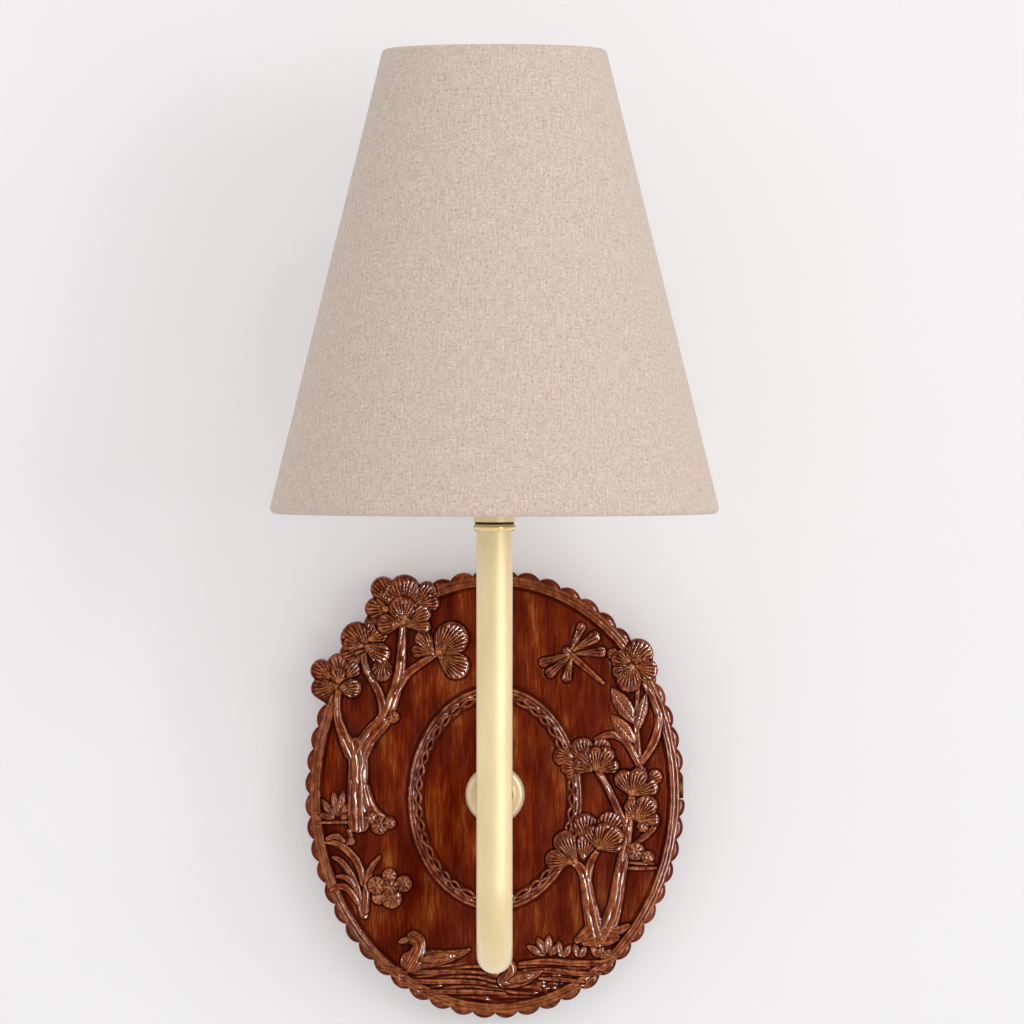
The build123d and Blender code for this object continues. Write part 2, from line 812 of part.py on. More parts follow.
def build_bulb_insulator():
    return on_lamp(
        turned(
            [
                (0, bulb_insulator_foot),
                (tip_diameter / 2, bulb_insulator_foot),
                (bulb_insulator_top / 2, cap_foot),
                (0, cap_foot),
            ]
        )
    )


def build_bulb_cap():
    outer = cap_diameter / 2
    inner = outer - cap_wall
    return on_lamp(
        turned(
            [
                (0, cap_foot),
                (outer, cap_foot),
                (outer, cap_top),
                (inner, cap_top),
                (inner, cap_foot + cap_wall),
                (0, cap_foot + cap_wall),
            ]
        )
    )


def bulb_shape(shrink):
    """The bulb's turned form, made smaller all round by a wall."""
    neck = glass_neck / 2 - shrink
    throat = glass_throat / 2 - shrink
    round_radius = bulb_diameter / 2 - shrink
    foot = cap_top - glass_neck_depth + shrink
    throat_height = cap_top + glass_throat_rise
    lean = math.radians(bulb_lean)
    meet = (round_radius * math.cos(lean), bulb_centre - round_radius * math.sin(lean))
    side = TangentArc(meet, (throat, throat_height), tangent=(-math.sin(lean), -math.cos(lean)))
    crown = ThreePointArc((0, bulb_centre + round_radius), (round_radius, bulb_centre), meet)
    neck_lines = Polyline(
        (throat, throat_height), (neck, cap_top), (neck, foot), (0, foot), (0, bulb_centre + round_radius)
    )
    return revolve(Plane.XZ * make_face([crown, side, *neck_lines.edges()]), Axis.Z)


def build_bulb_glass():
    return on_lamp(bulb_shape(0) - bulb_shape(glass_wall))


def shade_radius(height):
    """The shade's outer radius at a height."""
    share = (height - shade_bottom) / shade_height
    return (shade_bottom_diameter + share * (shade_top_diameter - shade_bottom_diameter)) / 2


def wire_radius(height):
    """Middle of a frame wire that lies in the shade's hem at a height."""
    return shade_radius(height) - fabric_thickness - skin_gap - shade_wire / 2


def hem_wire_heights():
    inset = fabric_thickness + skin_gap + shade_wire / 2
    return (shade_bottom + inset, shade_top - inset)


def build_shade_wire(height):
    return on_lamp(Pos(0, 0, height) * Torus(wire_radius(height), shade_wire / 2))


def skin_point(height, inset):
    """A point of the shade's section, moved in from its outer face."""
    return (shade_radius(height) - inset, height)


def build_shade_fabric():
    low = shade_bottom
    high = shade_top
    skin = fabric_thickness
    fold = hem_width - skin
    section = [
        skin_point(low, 0),
        skin_point(high, 0),
        skin_point(high, hem_width),
        skin_point(high - hem_height, hem_width),
        skin_point(high - hem_height, fold),
        skin_point(high - skin, fold),
        skin_point(high - skin, skin),
        skin_point(low + skin, skin),
        skin_point(low + skin, fold),
        skin_point(low + hem_height, fold),
        skin_point(low + hem_height, hem_width),
        skin_point(low, hem_width),
    ]
    notches = spoke_rods(spoke_diameter / 2 + skin_gap)
    return on_lamp(turned(section) - notches)


def build_shade_liner():
    edge = fabric_thickness + 2 * skin_gap + shade_wire
    low = shade_bottom + edge
    high = shade_top - edge
    outer = fabric_thickness + skin_gap
    inner = outer + liner_thickness
    return on_lamp(
        turned(
            [
                skin_point(low, outer),
                skin_point(high, outer),
                skin_point(high, inner),
                skin_point(low, inner),
            ]
        )
    )


def fitter_middle():
    return seat_height + fitter_thickness / 2


def build_fitter_ring():
    bore = holder_diameter / 2 + fitter_clearance
    return on_lamp(pipe(fitter_diameter / 2, bore, seat_height, seat_height + fitter_thickness))


def spoke_rods(radius):
    """Round rods from the fitter's rim down to the bottom wire."""
    wire_height = hem_wire_heights()[0]
    rods = []
    for index in range(spoke_count):
        angle = math.radians(spoke_first_angle + 360 * index / spoke_count)
        ends = []
        for reach, height in (
            (fitter_diameter / 2 - spoke_diameter, fitter_middle()),
            (wire_radius(wire_height), wire_height),
        ):
            ends.append(Vector(reach * math.cos(angle), reach * math.sin(angle), height))
        run = ends[1] - ends[0]
        rod = Plane(origin=ends[0], z_dir=run) * peg(radius, 0, run.length)
        rods.append(rod)
    return rods


def build_spider_arms():
    wire_height = hem_wire_heights()[0]
    wire_room = Pos(0, 0, wire_height) * Torus(wire_radius(wire_height), shade_wire / 2 + skin_gap)
    fitter_room = peg(
        fitter_diameter / 2 + thread_clearance,
        seat_height - spoke_diameter,
        seat_height + fitter_thickness + spoke_diameter,
    )
    rods = [on_lamp(rod - wire_room - fitter_room) for rod in spoke_rods(spoke_diameter / 2)]
    return Compound(children=[rod.solids().sort_by(SortBy.VOLUME)[-1] for rod in rods])


def build_shade_ring():
    foot = seat_height + fitter_thickness
    bore = holder_diameter / 2 + running_clearance
    ring = pipe(bore + shade_ring_wall, bore, foot, foot + shade_ring_height)
    notches = []
    for index in range(shade_ring_notches):
        turn = Rot(0, 0, 360 * index / shade_ring_notches)
        place = Pos(bore + shade_ring_wall, 0, 0)
        notches.append(turn * place * peg(shade_ring_notch / 2, foot, foot + shade_ring_height))
    return on_lamp(ring - notches)


def pole_x(index):
    return pole_pitch * (index - (terminal_poles - 1) / 2)


def mount_screw_places():
    """Two screws that hold the terminal block, between its poles."""
    height = block_bottom + block_height / 2
    return [Pos(x, height, 0) for x in (pole_x(0) + pole_pitch / 2, pole_x(1) + pole_pitch / 2)]


def build_terminal_block():
    block_back = recess_depth - block_depth
    block = Pos(0, block_bottom, block_back) * Box(
        block_width, block_height, block_depth, align=(Align.CENTER, Align.MIN, Align.MIN)
    )
    for index in range(terminal_poles):
        bore = Pos(pole_x(index), block_bottom, barrel_depth) * Cylinder(
            barrel_diameter / 2 + thread_clearance,
            block_height,
            rotation=(-90, 0, 0),
            align=(Align.CENTER, Align.CENTER, Align.MIN),
        )
        block -= bore
        for height in block_screw_heights():
            shaft = peg(block_screw_diameter / 2 + thread_clearance, block_back, barrel_depth)
            block -= Pos(pole_x(index), height, 0) * shaft
    head_room = peg(
        mount_screw_head / 2 + bore_clearance, block_back, block_back + mount_screw_head_height
    )
    shank_room = peg(mount_screw_diameter / 2 + thread_clearance, block_back, recess_depth)
    block -= [place * (head_room + shank_room) for place in mount_screw_places()]
    return on_wall(block)


def block_screw_heights():
    return (block_bottom + block_screw_inset, block_bottom + block_height - block_screw_inset)


def build_terminal_barrels():
    barrels = []
    for index in range(terminal_poles):
        barrel = pipe(barrel_diameter / 2, barrel_bore / 2, 0, block_height)
        barrel = Rot(-90, 0, 0) * barrel
        barrel = Pos(pole_x(index), block_bottom, barrel_depth) * barrel
        for height in block_screw_heights():
            hole = peg(block_screw_diameter / 2 + thread_clearance, 0, barrel_depth)
            barrel -= Pos(pole_x(index), height, 0) * hole
        barrels.append(on_wall(barrel))
    return Compound(children=barrels)


def build_terminal_block_screws():
    screws = []
    top = barrel_depth - wire_diameter / 2 - skin_gap
    for index in range(terminal_poles):
        for height in block_screw_heights():
            screw = peg(block_screw_diameter / 2, top - block_screw_length, top)
            slot = Pos(0, 0, top - block_screw_length) * Box(
                block_screw_diameter, block_screw_slot, screw_slot_depth
            )
            screws.append(on_wall(Pos(pole_x(index), height, 0) * (screw - slot)))
    return Compound(children=screws)


def build_terminal_mount_screws():
    seat = recess_depth - block_depth + mount_screw_head_height
    length = recess_depth + mount_screw_grip - seat
    screw = slotted_screw(
        mount_screw_diameter, length, mount_screw_head, mount_screw_head_height
    )
    screws = [on_wall(place * Pos(0, 0, seat) * screw) for place in mount_screw_places()]
    return Compound(children=screws)


def build_ground_screw():
    seat = strap_bridge_depth - lug_thickness
    length = lug_thickness + strap_thickness + screw_slot_depth
    screw = slotted_screw(
        ground_screw_diameter, length, ground_head_diameter, ground_head_height
    )
    return on_wall(Pos(ground_screw_x, 0, seat) * screw)


def lug_barrel_start():
    """Height of the ring terminal's barrel, just clear of the screw's head."""
    return ground_head_diameter / 2 + bore_clearance


def lug_barrel_depth():
    return strap_bridge_depth - lug_barrel_diameter / 2


def build_ground_lug():
    ring = peg(lug_diameter / 2, strap_bridge_depth - lug_thickness, strap_bridge_depth)
    ring -= peg(
        ground_screw_diameter / 2 + bore_clearance,
        strap_bridge_depth - lug_thickness,
        strap_bridge_depth,
    )
    barrel = pipe(lug_barrel_diameter / 2, wire_diameter / 2 + thread_clearance, 0, lug_barrel_length)
    barrel = Pos(0, lug_barrel_start(), lug_barrel_depth()) * (Rot(-90, 0, 0) * barrel)
    return on_wall(Pos(ground_screw_x, 0, 0) * (ring + barrel))


def wire_along(points, radii):
    """A round wire through points, with one bending radius for each corner."""
    path = FilletPolyline(*points, radius=radii)
    start = Plane(origin=points[0], z_dir=Vector(points[1]) - Vector(points[0]))
    return sweep(start * Circle(wire_diameter / 2), path=path)


def lamp_wire(x, pole, terminal_x):
    """One wire of the pair, from the terminal block through the arm to the lampholder."""
    run_depth = rod_back - wire_turn
    screw_foot = core_foot - terminal_head_height
    spread_foot = holder_nut_top + holder_base_boss_height
    beside_head = terminal_head_diameter / 2 + wire_diameter / 2 + skin_gap
    rise_x = terminal_x - math.copysign(beside_head, terminal_x)
    block_turn = block_bottom - wire_bend
    points = [
        (pole_x(pole), -barrel_depth, block_bottom + wire_in_barrel),
        (pole_x(pole), -barrel_depth, block_turn),
        (x, -run_depth, strap_width / 2),
        (x, -run_depth, 0),
        (x, -first_drop_depth, 0),
        (x, -first_drop_depth, lowest_axis),
        (x, -lamp_depth, lowest_axis),
        (x, -lamp_depth, spread_foot),
        (rise_x, -lamp_depth, screw_foot - wire_bend),
        (rise_x, -lamp_depth, core_foot - skin_gap),
    ]
    radii = [
        wire_bend,
        wire_bend,
        wire_turn,
        bend_radius,
        bend_radius,
        bend_radius,
        wire_bend,
        wire_bend,
    ]
    return wire_along(points, radii)


def build_live_wire():
    return lamp_wire(-wire_offset, 0, -terminal_spacing / 2)


def build_neutral_wire():
    return lamp_wire(wire_offset, 1, terminal_spacing / 2)


def build_ground_wire():
    lug_end = lug_barrel_start() + lug_barrel_length
    pole = pole_x(2)
    points = [
        (ground_screw_x, -lug_barrel_depth(), lug_end - wire_in_barrel / 2),
        (ground_screw_x, -lug_barrel_depth(), lug_end + wire_bend / 2),
        (pole, -barrel_depth, block_bottom - wire_bend / 2),
        (pole, -barrel_depth, block_bottom + wire_in_barrel),
    ]
    return wire_along(points, [wire_bend / 2, wire_bend / 2])


parts = {
    "crossbar": build_crossbar(),
    "ground_screw": build_ground_screw(),
    "ground_lug": build_ground_lug(),
    "backplate": build_backplate(),
    "side_lock_screw": build_side_lock_screw(),
    "nipple": build_nipple(),
    "nipple_washer": build_nipple_washer(),
    "nipple_nut": build_nipple_nut(),
    "rosette": build_rosette(),
    "rosette_collar": build_rosette_collar(),
    "terminal_block": build_terminal_block(),
    "terminal_barrels": build_terminal_barrels(),
    "terminal_block_screws": build_terminal_block_screws(),
    "terminal_mount_screws": build_terminal_mount_screws(),
    "arm_tube": build_arm_tube(),
    "arm_base_bush": build_arm_base_bush(),
    "tube_top_bush": build_tube_top_bush(),
    "tube_collar": build_tube_collar(),
    "gap_washer": build_gap_washer(),
    "socket_cup": build_socket_cup(),
    "lampholder_nipple": build_lampholder_nipple(),
    "lampholder_locknut": build_lampholder_locknut(),
    "lampholder_base": build_lampholder_base(),
    "lampholder_body": build_lampholder_body(),
    "lampholder_insulator": build_lampholder_insulator(),
    "screw_shell": build_screw_shell(),
    "centre_contact": build_centre_contact(),
    "terminal_screws": build_terminal_screws(),
    "shade_ring": build_shade_ring(),
    "fitter_ring": build_fitter_ring(),
    "spider_arms": build_spider_arms(),
    "shade_bottom_wire": build_shade_wire(hem_wire_heights()[0]),
    "shade_top_wire": build_shade_wire(hem_wire_heights()[1]),
    "shade_liner": build_shade_liner(),
    "shade_fabric": build_shade_fabric(),
    "bulb_tip_contact": build_bulb_tip_contact(),
    "bulb_insulator": build_bulb_insulator(),
    "bulb_cap": build_bulb_cap(),
    "bulb_glass": build_bulb_glass(),
    "live_wire": build_live_wire(),
    "neutral_wire": build_neutral_wire(),
    "ground_wire": build_ground_wire(),
}

os.makedirs("parts", exist_ok=True)
for name, shape in parts.items():
    export_step(shape, f"parts/{name}.step")
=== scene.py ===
import math

import bmesh
import bpy
import numpy as np
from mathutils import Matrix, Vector


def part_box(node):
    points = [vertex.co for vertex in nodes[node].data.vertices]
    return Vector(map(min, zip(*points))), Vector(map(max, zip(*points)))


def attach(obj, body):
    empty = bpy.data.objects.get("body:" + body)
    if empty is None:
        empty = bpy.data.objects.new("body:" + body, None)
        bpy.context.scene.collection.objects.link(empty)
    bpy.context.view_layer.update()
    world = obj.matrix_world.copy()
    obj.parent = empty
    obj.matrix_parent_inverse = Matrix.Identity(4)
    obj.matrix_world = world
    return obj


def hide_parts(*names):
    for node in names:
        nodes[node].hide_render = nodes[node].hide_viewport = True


# A carved wood wall sconce: an oval board with a carved garden scene, a bent brass tube arm
# and a tapered linen shade. The frame's origin lies on the wall behind the arm's rosette,
# X to the right, Y into the wall and Z up.
# Shapes are written in millimetres and turned into metres when a mesh is made.

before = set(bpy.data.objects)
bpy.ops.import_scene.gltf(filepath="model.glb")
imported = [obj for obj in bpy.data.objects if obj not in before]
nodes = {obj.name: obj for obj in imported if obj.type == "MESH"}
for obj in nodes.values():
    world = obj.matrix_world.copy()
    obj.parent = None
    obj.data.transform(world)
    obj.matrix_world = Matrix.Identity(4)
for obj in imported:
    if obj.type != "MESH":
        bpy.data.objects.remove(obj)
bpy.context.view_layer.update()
MM = 0.001

# View of the photograph
PHOTO_PIXELS = 1024
PIXEL = 0.3934  # millimetres per pixel at the lamp's axis
CAMERA_DISTANCE = 2900.0  # camera to the lamp's axis
CAMERA_X = 6.9
CAMERA_Z = 158.0
AIM_Z = 116.5  # height on the lamp's axis at the picture's middle
SENSOR = 36.0

# Stage and light
WALL_GAP = 0.8  # the stage's wall lies this far behind the frame's
FLOOR_DROP = 750.0
COVE = 350.0  # radius between floor and wall
STAGE_REACH = 6000.0  # to the front and to each side
STAGE_TOP = 4000.0
TOUCH = 25.0  # the wall hides no light from what lies this near in front of it
SHADOW_SOFTENING = 0.28  # share of the wall's brightness that shadows leave alone
LIGHT_TARGET = (0.0, -0.08, 0.1)  # metres, as lamps are

# Carved board
SCALLOPS = 56
SCALLOP_RISE = 2.0
LOBE = 2.6  # scallop tip to the border's outer ridge
BORDER = 3.9  # outer ridge to inner edge of the border
BORDER_RIDGES = ((0.3, 0.7), (1.8, 0.7), (3.1, 0.55))  # place in from the lobes, half width
RIDGE_RISE = 0.5
RING_HALF_WIDTH = 35.6
RING_HALF_HEIGHT = 45.8
RING_DROP = 1.6
RING_BAND = 6.5
CHAIN_LINKS = 40
CHAIN_INSET = 4.3
CHAIN_SWAY = 1.05  # how far a strand swings from the chain's middle
CHAIN_RISE = 1.2
CHAIN_WIDTH = 0.66
NOTCH_DEPTH = 2.4  # flat under the lock screw's head, in from the scallop tips
NOTCH_ROOM = 0.6  # flat past the lock screw's head, above and below
RECESS_DEPTH = 14.0
RECESS_INSET = 13.5
ROD_HOLE = 5.3
ROD_FIT = 5.05  # radius of the holes of the brass and fibre rings round the rod
LOW = 1.4  # heights of the relief above the ground
BACK = 1.7
MIDDLE = 2.3
HIGH = 3.0
WING_RISE = 0.5  # wings and beaks above the birds
LOWEST = -1.6  # no cut goes deeper
CUT = 0.6  # depth of the cut that frees a motif from what lies under it
RAY_PITCH = 1.5  # grooves of a petal, where they are widest
RAY_DEPTH = 0.8
PETAL_FOOT = 0.8  # half width of a petal at its pivot
STEM_GROOVES = (0.2, 1.8)  # depth and pitch of the grooves along a limb
TRUNK_GROOVES = (0.45, 2.6)
FEATHER_GROOVES = (0.25, 1.7)
LEAF_VEINS = 0.18  # depth
WING_VEINS = 0.2
VEIN_PITCH = 1.7
BERRY_RAYS = 7
WATER_LINE = -69.0
RIPPLE_PITCH = 2.1
EARTH_START = 12.0  # between these places the ripples turn into rough earth
EARTH_END = 20.0
VARNISH = 0.3  # share of the gloss that the varnish has on a carved slope
COLUMNS = 24 * SCALLOPS
FIELD_INSET = 9.5  # inside this the grid doesn't follow the outline
FIELD_START = 8.5  # the fine grid begins this far inside the ring
FRONT_RINGS = 184
OUTER_RINGS = 56
RIM_RINGS = 10
NOISE_CELLS = 256  # random values repeat after this many

# Arm
BEND_RADIUS = 30.0
TUBE_WALL = 1.2

# Shade
HEM = 5.0
CLOTH = 0.45  # thickness of the linen
SHADE_COLUMNS = 720
SKIN_ROWS = 62
FOLD_ROWS = 17
THREAD_PITCH = 0.75  # linen threads
SEAM_WIDTH = 9.0
SHADE_SWAY = 0.07  # unevenness of the cloth
SHADE_ROOM = 0.1  # keeps the seam and the unevenness inside the frame's box

# Petals of the carving's trees: pivot x, pivot z, direction in degrees, length, width
overhang_petals = [
    (-41.5, 78, 128, 12, 9.8),
    (-31.5, 77.5, 52, 10.4, 8.8),
    (-47, 71.5, 200, 6.5, 5.6),
    (-43.5, 75.5, 178, 9.6, 8.6),
    (-37, 75.5, 91, 13.8, 13.4),
    (-52, 62.5, 75, 7.4, 7.6),
    (-51.5, 58.5, 135, 13.6, 13),
    (-54.5, 58.5, 188, 9, 6.4),
    (-63.5, 48.5, 100, 8.6, 8.8),
    (-66.5, 48, 152, 9.4, 8.4),
    (-63.5, 44, 186, 11.6, 8.6),
    (55, 52.5, 52, 11.8, 12.2),
    (57, 52, -14, 9.6, 8.4),
]
back_petals = [
    (-31, 77, 12, 8.6, 7),
    (-51.5, 63, 25, 8.5, 6.6),
    (-62, 46.5, 48, 9.2, 6.6),
    (-45.6, 55, 264, 9.2, 9.2),
    (-25, 58, 128, 10.5, 7.5),
    (-25.5, 57.5, 172, 9, 6),
    (37, 13.2, 106, 10.4, 10.4),
    (41.5, 14.5, 68, 9, 8),
    (31.5, 15.5, 178, 8, 8.2),
    (34, 11, 178, 7.4, 6.6),
    (54, 4, 130, 6.8, 7),
    (58, 5, 75, 7, 7),
    (62, 5, 35, 7, 6.5),
    (38, -20, 100, 12.6, 10.6),
    (44, -18.5, 66, 12.4, 11),
    (36, -26, 84, 9.6, 8.4),
    (50, 57, 175, 4.6, 5.2),
]
middle_petals = [
    (-36.5, 69, -4, 10.5, 5.6),
    (-37, 70, 27, 12.2, 8),
    (-53, 60.5, -26, 11.2, 8.8),
    (-63.5, 45.5, 98, 6.8, 6.8),
    (-23, 56.5, -30, 14, 11.4),
    (40, 10, 162, 9, 6.6),
    (41.5, 9.6, 18, 9.4, 6.2),
    (41, 10, 122, 10.4, 7.6),
    (56.5, 0, 26, 11, 8),
    (57, -10, 102, 8.6, 7.4),
    (58, -10.5, 4, 9.4, 6),
    (42, -22, 112, 10, 6.6),
    (42.5, -22, 8, 9.6, 5.6),
    (55, 53, 152, 8.4, 8.2),
    (55, 52.5, 205, 8, 5.6),
]
front_petals = [
    (-38.5, 69.5, 180, 10, 8.4),
    (-37.5, 69.5, 93, 11.6, 10.8),
    (-54, 60.5, 172, 8.2, 6.4),
    (-63, 43.5, -2, 8.8, 8.2),
    (-23.5, 57.5, 46, 15.4, 14.2),
    (41.2, 9.8, 58, 11, 7.8),
    (41, 9.8, 90, 9.8, 6.6),
    (55.5, 0, 116, 11, 8.4),
    (55.8, 0, 70, 11.4, 8.2),
    (57.5, -10, 52, 11.4, 9.4),
    (42, -22, 74, 11, 7.8),
    (42, -22, 38, 12.4, 8.6),
    (33, -28, 118, 14.6, 9.6),
    (31, -27.5, 172, 10.8, 8.8),
    (55.5, 53, 262, 11.6, 10.6),
]

# Wings of the carving's dragonfly, shaped as petals
wings = [
    (29.5, 57, 198, 12.4, 4.4),
    (30, 56, 220, 12.2, 4.8),
    (31, 55, 256, 9.8, 4.6),
    (31, 59, 66, 12.2, 4.4),
    (32, 58.6, 33, 12.8, 5.6),
    (33, 57.4, 4, 12.6, 4.8),
]

# Trunks, stems and blades of the carving: x, z and width along each one
trunks = [
    [(-55.5, -11, 9.5), (-56, 4, 8.6), (-55.5, 12, 8.2), (-56.5, 19, 8.6)],
    [(-53, 2, 5), (-51, -6, 5.4), (-47, -10, 5.6), (-43, -12, 3.6)],
    [(-58.5, 17, 6.4), (-62.5, 26, 4.4), (-64.6, 33, 3.6), (-63.8, 44, 2.6)],
    [(-55, 17, 8), (-50.5, 25, 7), (-45, 30, 6.6), (-42, 38, 5.6), (-39, 47, 5),
     (-38, 57, 4), (-37.6, 69.5, 3)],
    [(-45.5, 31, 4), (-46, 39, 3.4), (-49.5, 46, 3.4), (-53.5, 53, 3.2), (-53.6, 61, 2.6)],
    [(-40, 43, 4.4), (-36, 49.5, 3.6), (-29.5, 53.8, 3.2), (-24, 57.5, 2.8)],
    [(36.5, -60.4, 3), (40.5, -59.4, 5.6), (45.5, -59, 6), (49.5, -58.4, 3)],
    [(33.5, -59.5, 3), (36.4, -57.4, 4.8), (39.5, -54, 5.4)],
    [(45.5, -55.4, 5), (50.5, -55.6, 4.2), (54, -53.6, 2.4)],
    [(41.5, -58, 9), (39.8, -51, 7), (38, -43, 6), (37, -35, 5), (35, -29.5, 4),
     (30.5, -27, 2.8)],
    [(37, -37, 4.4), (38.6, -28, 3.4), (42.4, -21.5, 2.6)],
    [(43.5, -57.5, 8.6), (47.4, -51, 7), (49.6, -42, 6), (50.6, -34, 5.6), (52.6, -24, 5),
     (54, -13, 4.6), (56, 1, 2.8)],
    [(53, -13, 4), (49.5, -5, 3.4), (45, 5, 3), (41, 10.5, 2.6)],
]
stems = [
    [(59, 11, 3.4), (57.8, 20, 3), (57.4, 32, 2.4), (58.4, 47, 1.8)],
    [(59.5, 13, 3), (65, 21, 4), (67.2, 30, 3.8), (65, 38, 3.2), (60.5, 45, 2)],
    [(41, 22.5, 2), (47, 25, 3.4), (53.5, 22.5, 3.6), (58.5, 12, 3)],
    [(57, -20, 2), (62, -16.5, 3.4), (66.5, -11.5, 1.8)],
    [(-53.5, -49, 4), (-55.5, -41, 3.6), (-58, -33.5, 3.2), (-62.5, -27, 3), (-66, -25.5, 1.6)],
    [(-53.5, -36, 3.6), (-55, -29, 3.4), (-60, -22.5, 3.4), (-65, -19.5, 3.2), (-69, -19.5, 1.6)],
    [(-61.5, -19, 1.8), (-64.5, -16.5, 3.2), (-68.5, -18, 2)],
    [(-56, -44, 2.4), (-59.5, -38.5, 3.2), (-63.5, -37, 3), (-67, -39, 1.6)],
    [(-57.5, -37, 2.2), (-60.5, -33.5, 3), (-64.5, -33.5, 1.6)],
    [(-52.8, -47, 3.4), (-52.5, -38, 3.2), (-51, -30, 3), (-47, -25.5, 1.8)],
    [(-60, -20, 1.8), (-58.5, -17, 2.2), (-60, -14.5, 2.2), (-57.5, -14.5, 1.6)],
    [(29, 58.5, 3.6), (34, 54, 3), (44, 45.5, 1.8)],
    [(54, -30, 1.6), (60, -30.2, 2), (65.5, -30, 1.4)],
    [(53.5, -27.5, 1.4), (59, -28.2, 1.8), (64.5, -28.2, 1.2)],
    [(-72, -11.5, 1.4), (-62, -11.2, 1.8), (-50, -11.8, 1.4)],
    [(10, -69, 1.6), (20, -67.8, 2.8), (30, -68.6, 3), (42, -69, 2.6), (48, -66.5, 1.6)],
    [(12, -71.8, 1.6), (24, -71.6, 2.6), (34, -73.2, 2.6), (43, -73, 1.6)],
    [(18, -75, 1.4), (26, -75.4, 2.2), (36, -76.4, 1.4)],
    [(-46, -70, 1.4), (-38, -71.8, 2.4), (-26, -72.6, 2.4), (-14, -72, 1.8), (-4, -72.8, 1.4)],
    [(-38, -75, 1.4), (-28, -76.6, 2.4), (-16, -76, 2.4), (-4, -77, 1.6)],
    [(-30, -79.8, 1.4), (-20, -80.6, 2.2), (-8, -80.2, 2.2), (4, -81.2, 1.4)],
]
birds = [
    [(-34.2, -68, 9), (-28, -67, 8), (-20, -66.2, 5.6), (-14, -64.8, 3.4), (-10.6, -63.2, 1.6)],
    [(-33.8, -68.5, 8.6), (-30.8, -63.5, 6), (-30.8, -59.6, 5.6), (-33.2, -58.4, 5.8)],
    [(4, -76, 6.4), (10, -75.4, 7), (16, -73.4, 3.6), (19, -72, 1.6)],
    [(4.5, -75.5, 5.4), (7.2, -71.5, 4.2), (6, -69.6, 4.6)],
]

# Lens leaves, wings and grass blades of the carving: start x, start z, end x, end z, width
leaves = [
    (47, 43.8, 58, 28, 7),
    (47, 32.6, 57.6, 20.5, 6.2),
    (61.8, 42, 57.6, 25, 4.8),
    (-65, -10, -71, -1.5, 3.4),
    (-65, -10, -72.5, -8, 3),
    (-64.5, -9.5, -66, 2, 3.2),
    (-64, -9.5, -61.5, 2, 3.6),
    (-63.5, -9.5, -58.5, -3, 3.2),
    (-63.5, -10, -57.5, -8, 2.6),
    (21, -66, 12.5, -61.5, 3.6),
    (21, -65.5, 17, -58, 3.6),
    (21.5, -65.5, 22, -57, 3.6),
    (22, -66, 27, -60.5, 3.4),
    (27, -67, 25.5, -59, 3.2),
    (27.5, -67, 31, -61, 3.2),
    (34, -67, 32.4, -60.5, 3.2),
    (34.5, -67, 37, -61.5, 3.2),
    (41.5, -67, 39.5, -59.5, 3.4),
    (42, -67, 44, -60.5, 3.4),
    (42.5, -67, 47.5, -63, 3),
]
wings_and_beaks = [
    (-31.5, -67.6, -15, -65.4, 4.6),
    (-34, -58.4, -39.8, -60.4, 2.8),
    (5, -76, 16.5, -73.6, 4.2),
    (5, -69.4, 1.4, -70.8, 2.2),
]

# Round berries, buds and flower petals of the carving: x, z, radius
berries = [
    (-41.5, 31.5, 2.6),
    (-47, -12.6, 3.8),
    (-43, -11.6, 2.6),
    (-50.5, -9.5, 2.6),
    (-58.5, -19, 1.8),
    (-47.3, -42, 3),
    (-42.2, -42.2, 4.4),
    (-37.2, -36.4, 3.5),
    (-43, -33, 3),
    (-48.3, -37, 3.8),
    (-42.6, -37.6, 3.2),
    (60.2, -13, 2.6),
    (57.2, -23.2, 3.8),
    (62.2, -25.6, 2.8),
]


# Places and sizes read from the frame


def lamp_span(node):
    """A node's outer radius, foot and top about the lamp's axis, in millimetres."""
    low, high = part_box(node)
    return (high.x - low.x) / 2 / MM, low.z / MM, high.z / MM


def wall_span(node):
    """A node's outer radius and its depths from the wall, back and front, in millimetres."""
    low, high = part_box(node)
    return (high.x - low.x) / 2 / MM, -high.y / MM, -low.y / MM


shade_low, shade_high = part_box("shade_fabric")
lamp_depth = -(shade_low.y + shade_high.y) / 2 / MM
board_low, board_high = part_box("backplate")
half_width = (board_high.x - board_low.x) / 2 / MM
half_height = (board_high.z - board_low.z) / 2 / MM
ground_depth = wall_span("rosette")[1]
tube_radius = wall_span("arm_tube")[2] - lamp_depth


def on_lamp(x, y, z):
    """Points about the lamp's axis, in metres."""
    return np.stack([x, y - lamp_depth, z], -1) * MM


def on_wall(x, z, depth):
    """Points in front of the wall, in metres."""
    return np.stack([x, -depth, z], -1) * MM


# Mesh helpers


def grid_mesh(name, rows, uv=None, closed=False, sharp=40):
    """A piece from rows of points, each row a loop; closed joins the last row to the first."""
    points = np.asarray(rows)
    count, columns = points.shape[:2]
    strips = count if closed else count - 1
    row = np.repeat(np.arange(strips), columns)
    column = np.tile(np.arange(columns), strips)
    row_after = (row + 1) % count
    column_after = (column + 1) % columns
    corners = [
        row * columns + column,
        row * columns + column_after,
        row_after * columns + column_after,
        row_after * columns + column,
    ]
    mesh = bpy.data.meshes.new(name)
    mesh.from_pydata(points.reshape(-1, 3).tolist(), [], np.stack(corners, 1).tolist())
    if uv is not None:
        places = [uv[row, column], uv[row, column + 1], uv[row_after, column + 1], uv[row_after, column]]
        layer = mesh.uv_layers.new(name="flat")
        layer.data.foreach_set("uv", np.stack(places, 1).astype(np.float32).ravel())
    work = bmesh.new()
    work.from_mesh(mesh)
    bmesh.ops.recalc_face_normals(work, faces=work.faces)
    work.to_mesh(mesh)
    work.free()
    mesh.shade_smooth()
    mesh.set_sharp_from_angle(angle=math.radians(sharp))
    piece = bpy.data.objects.new(name, mesh)
    bpy.context.scene.collection.objects.link(piece)
    return piece


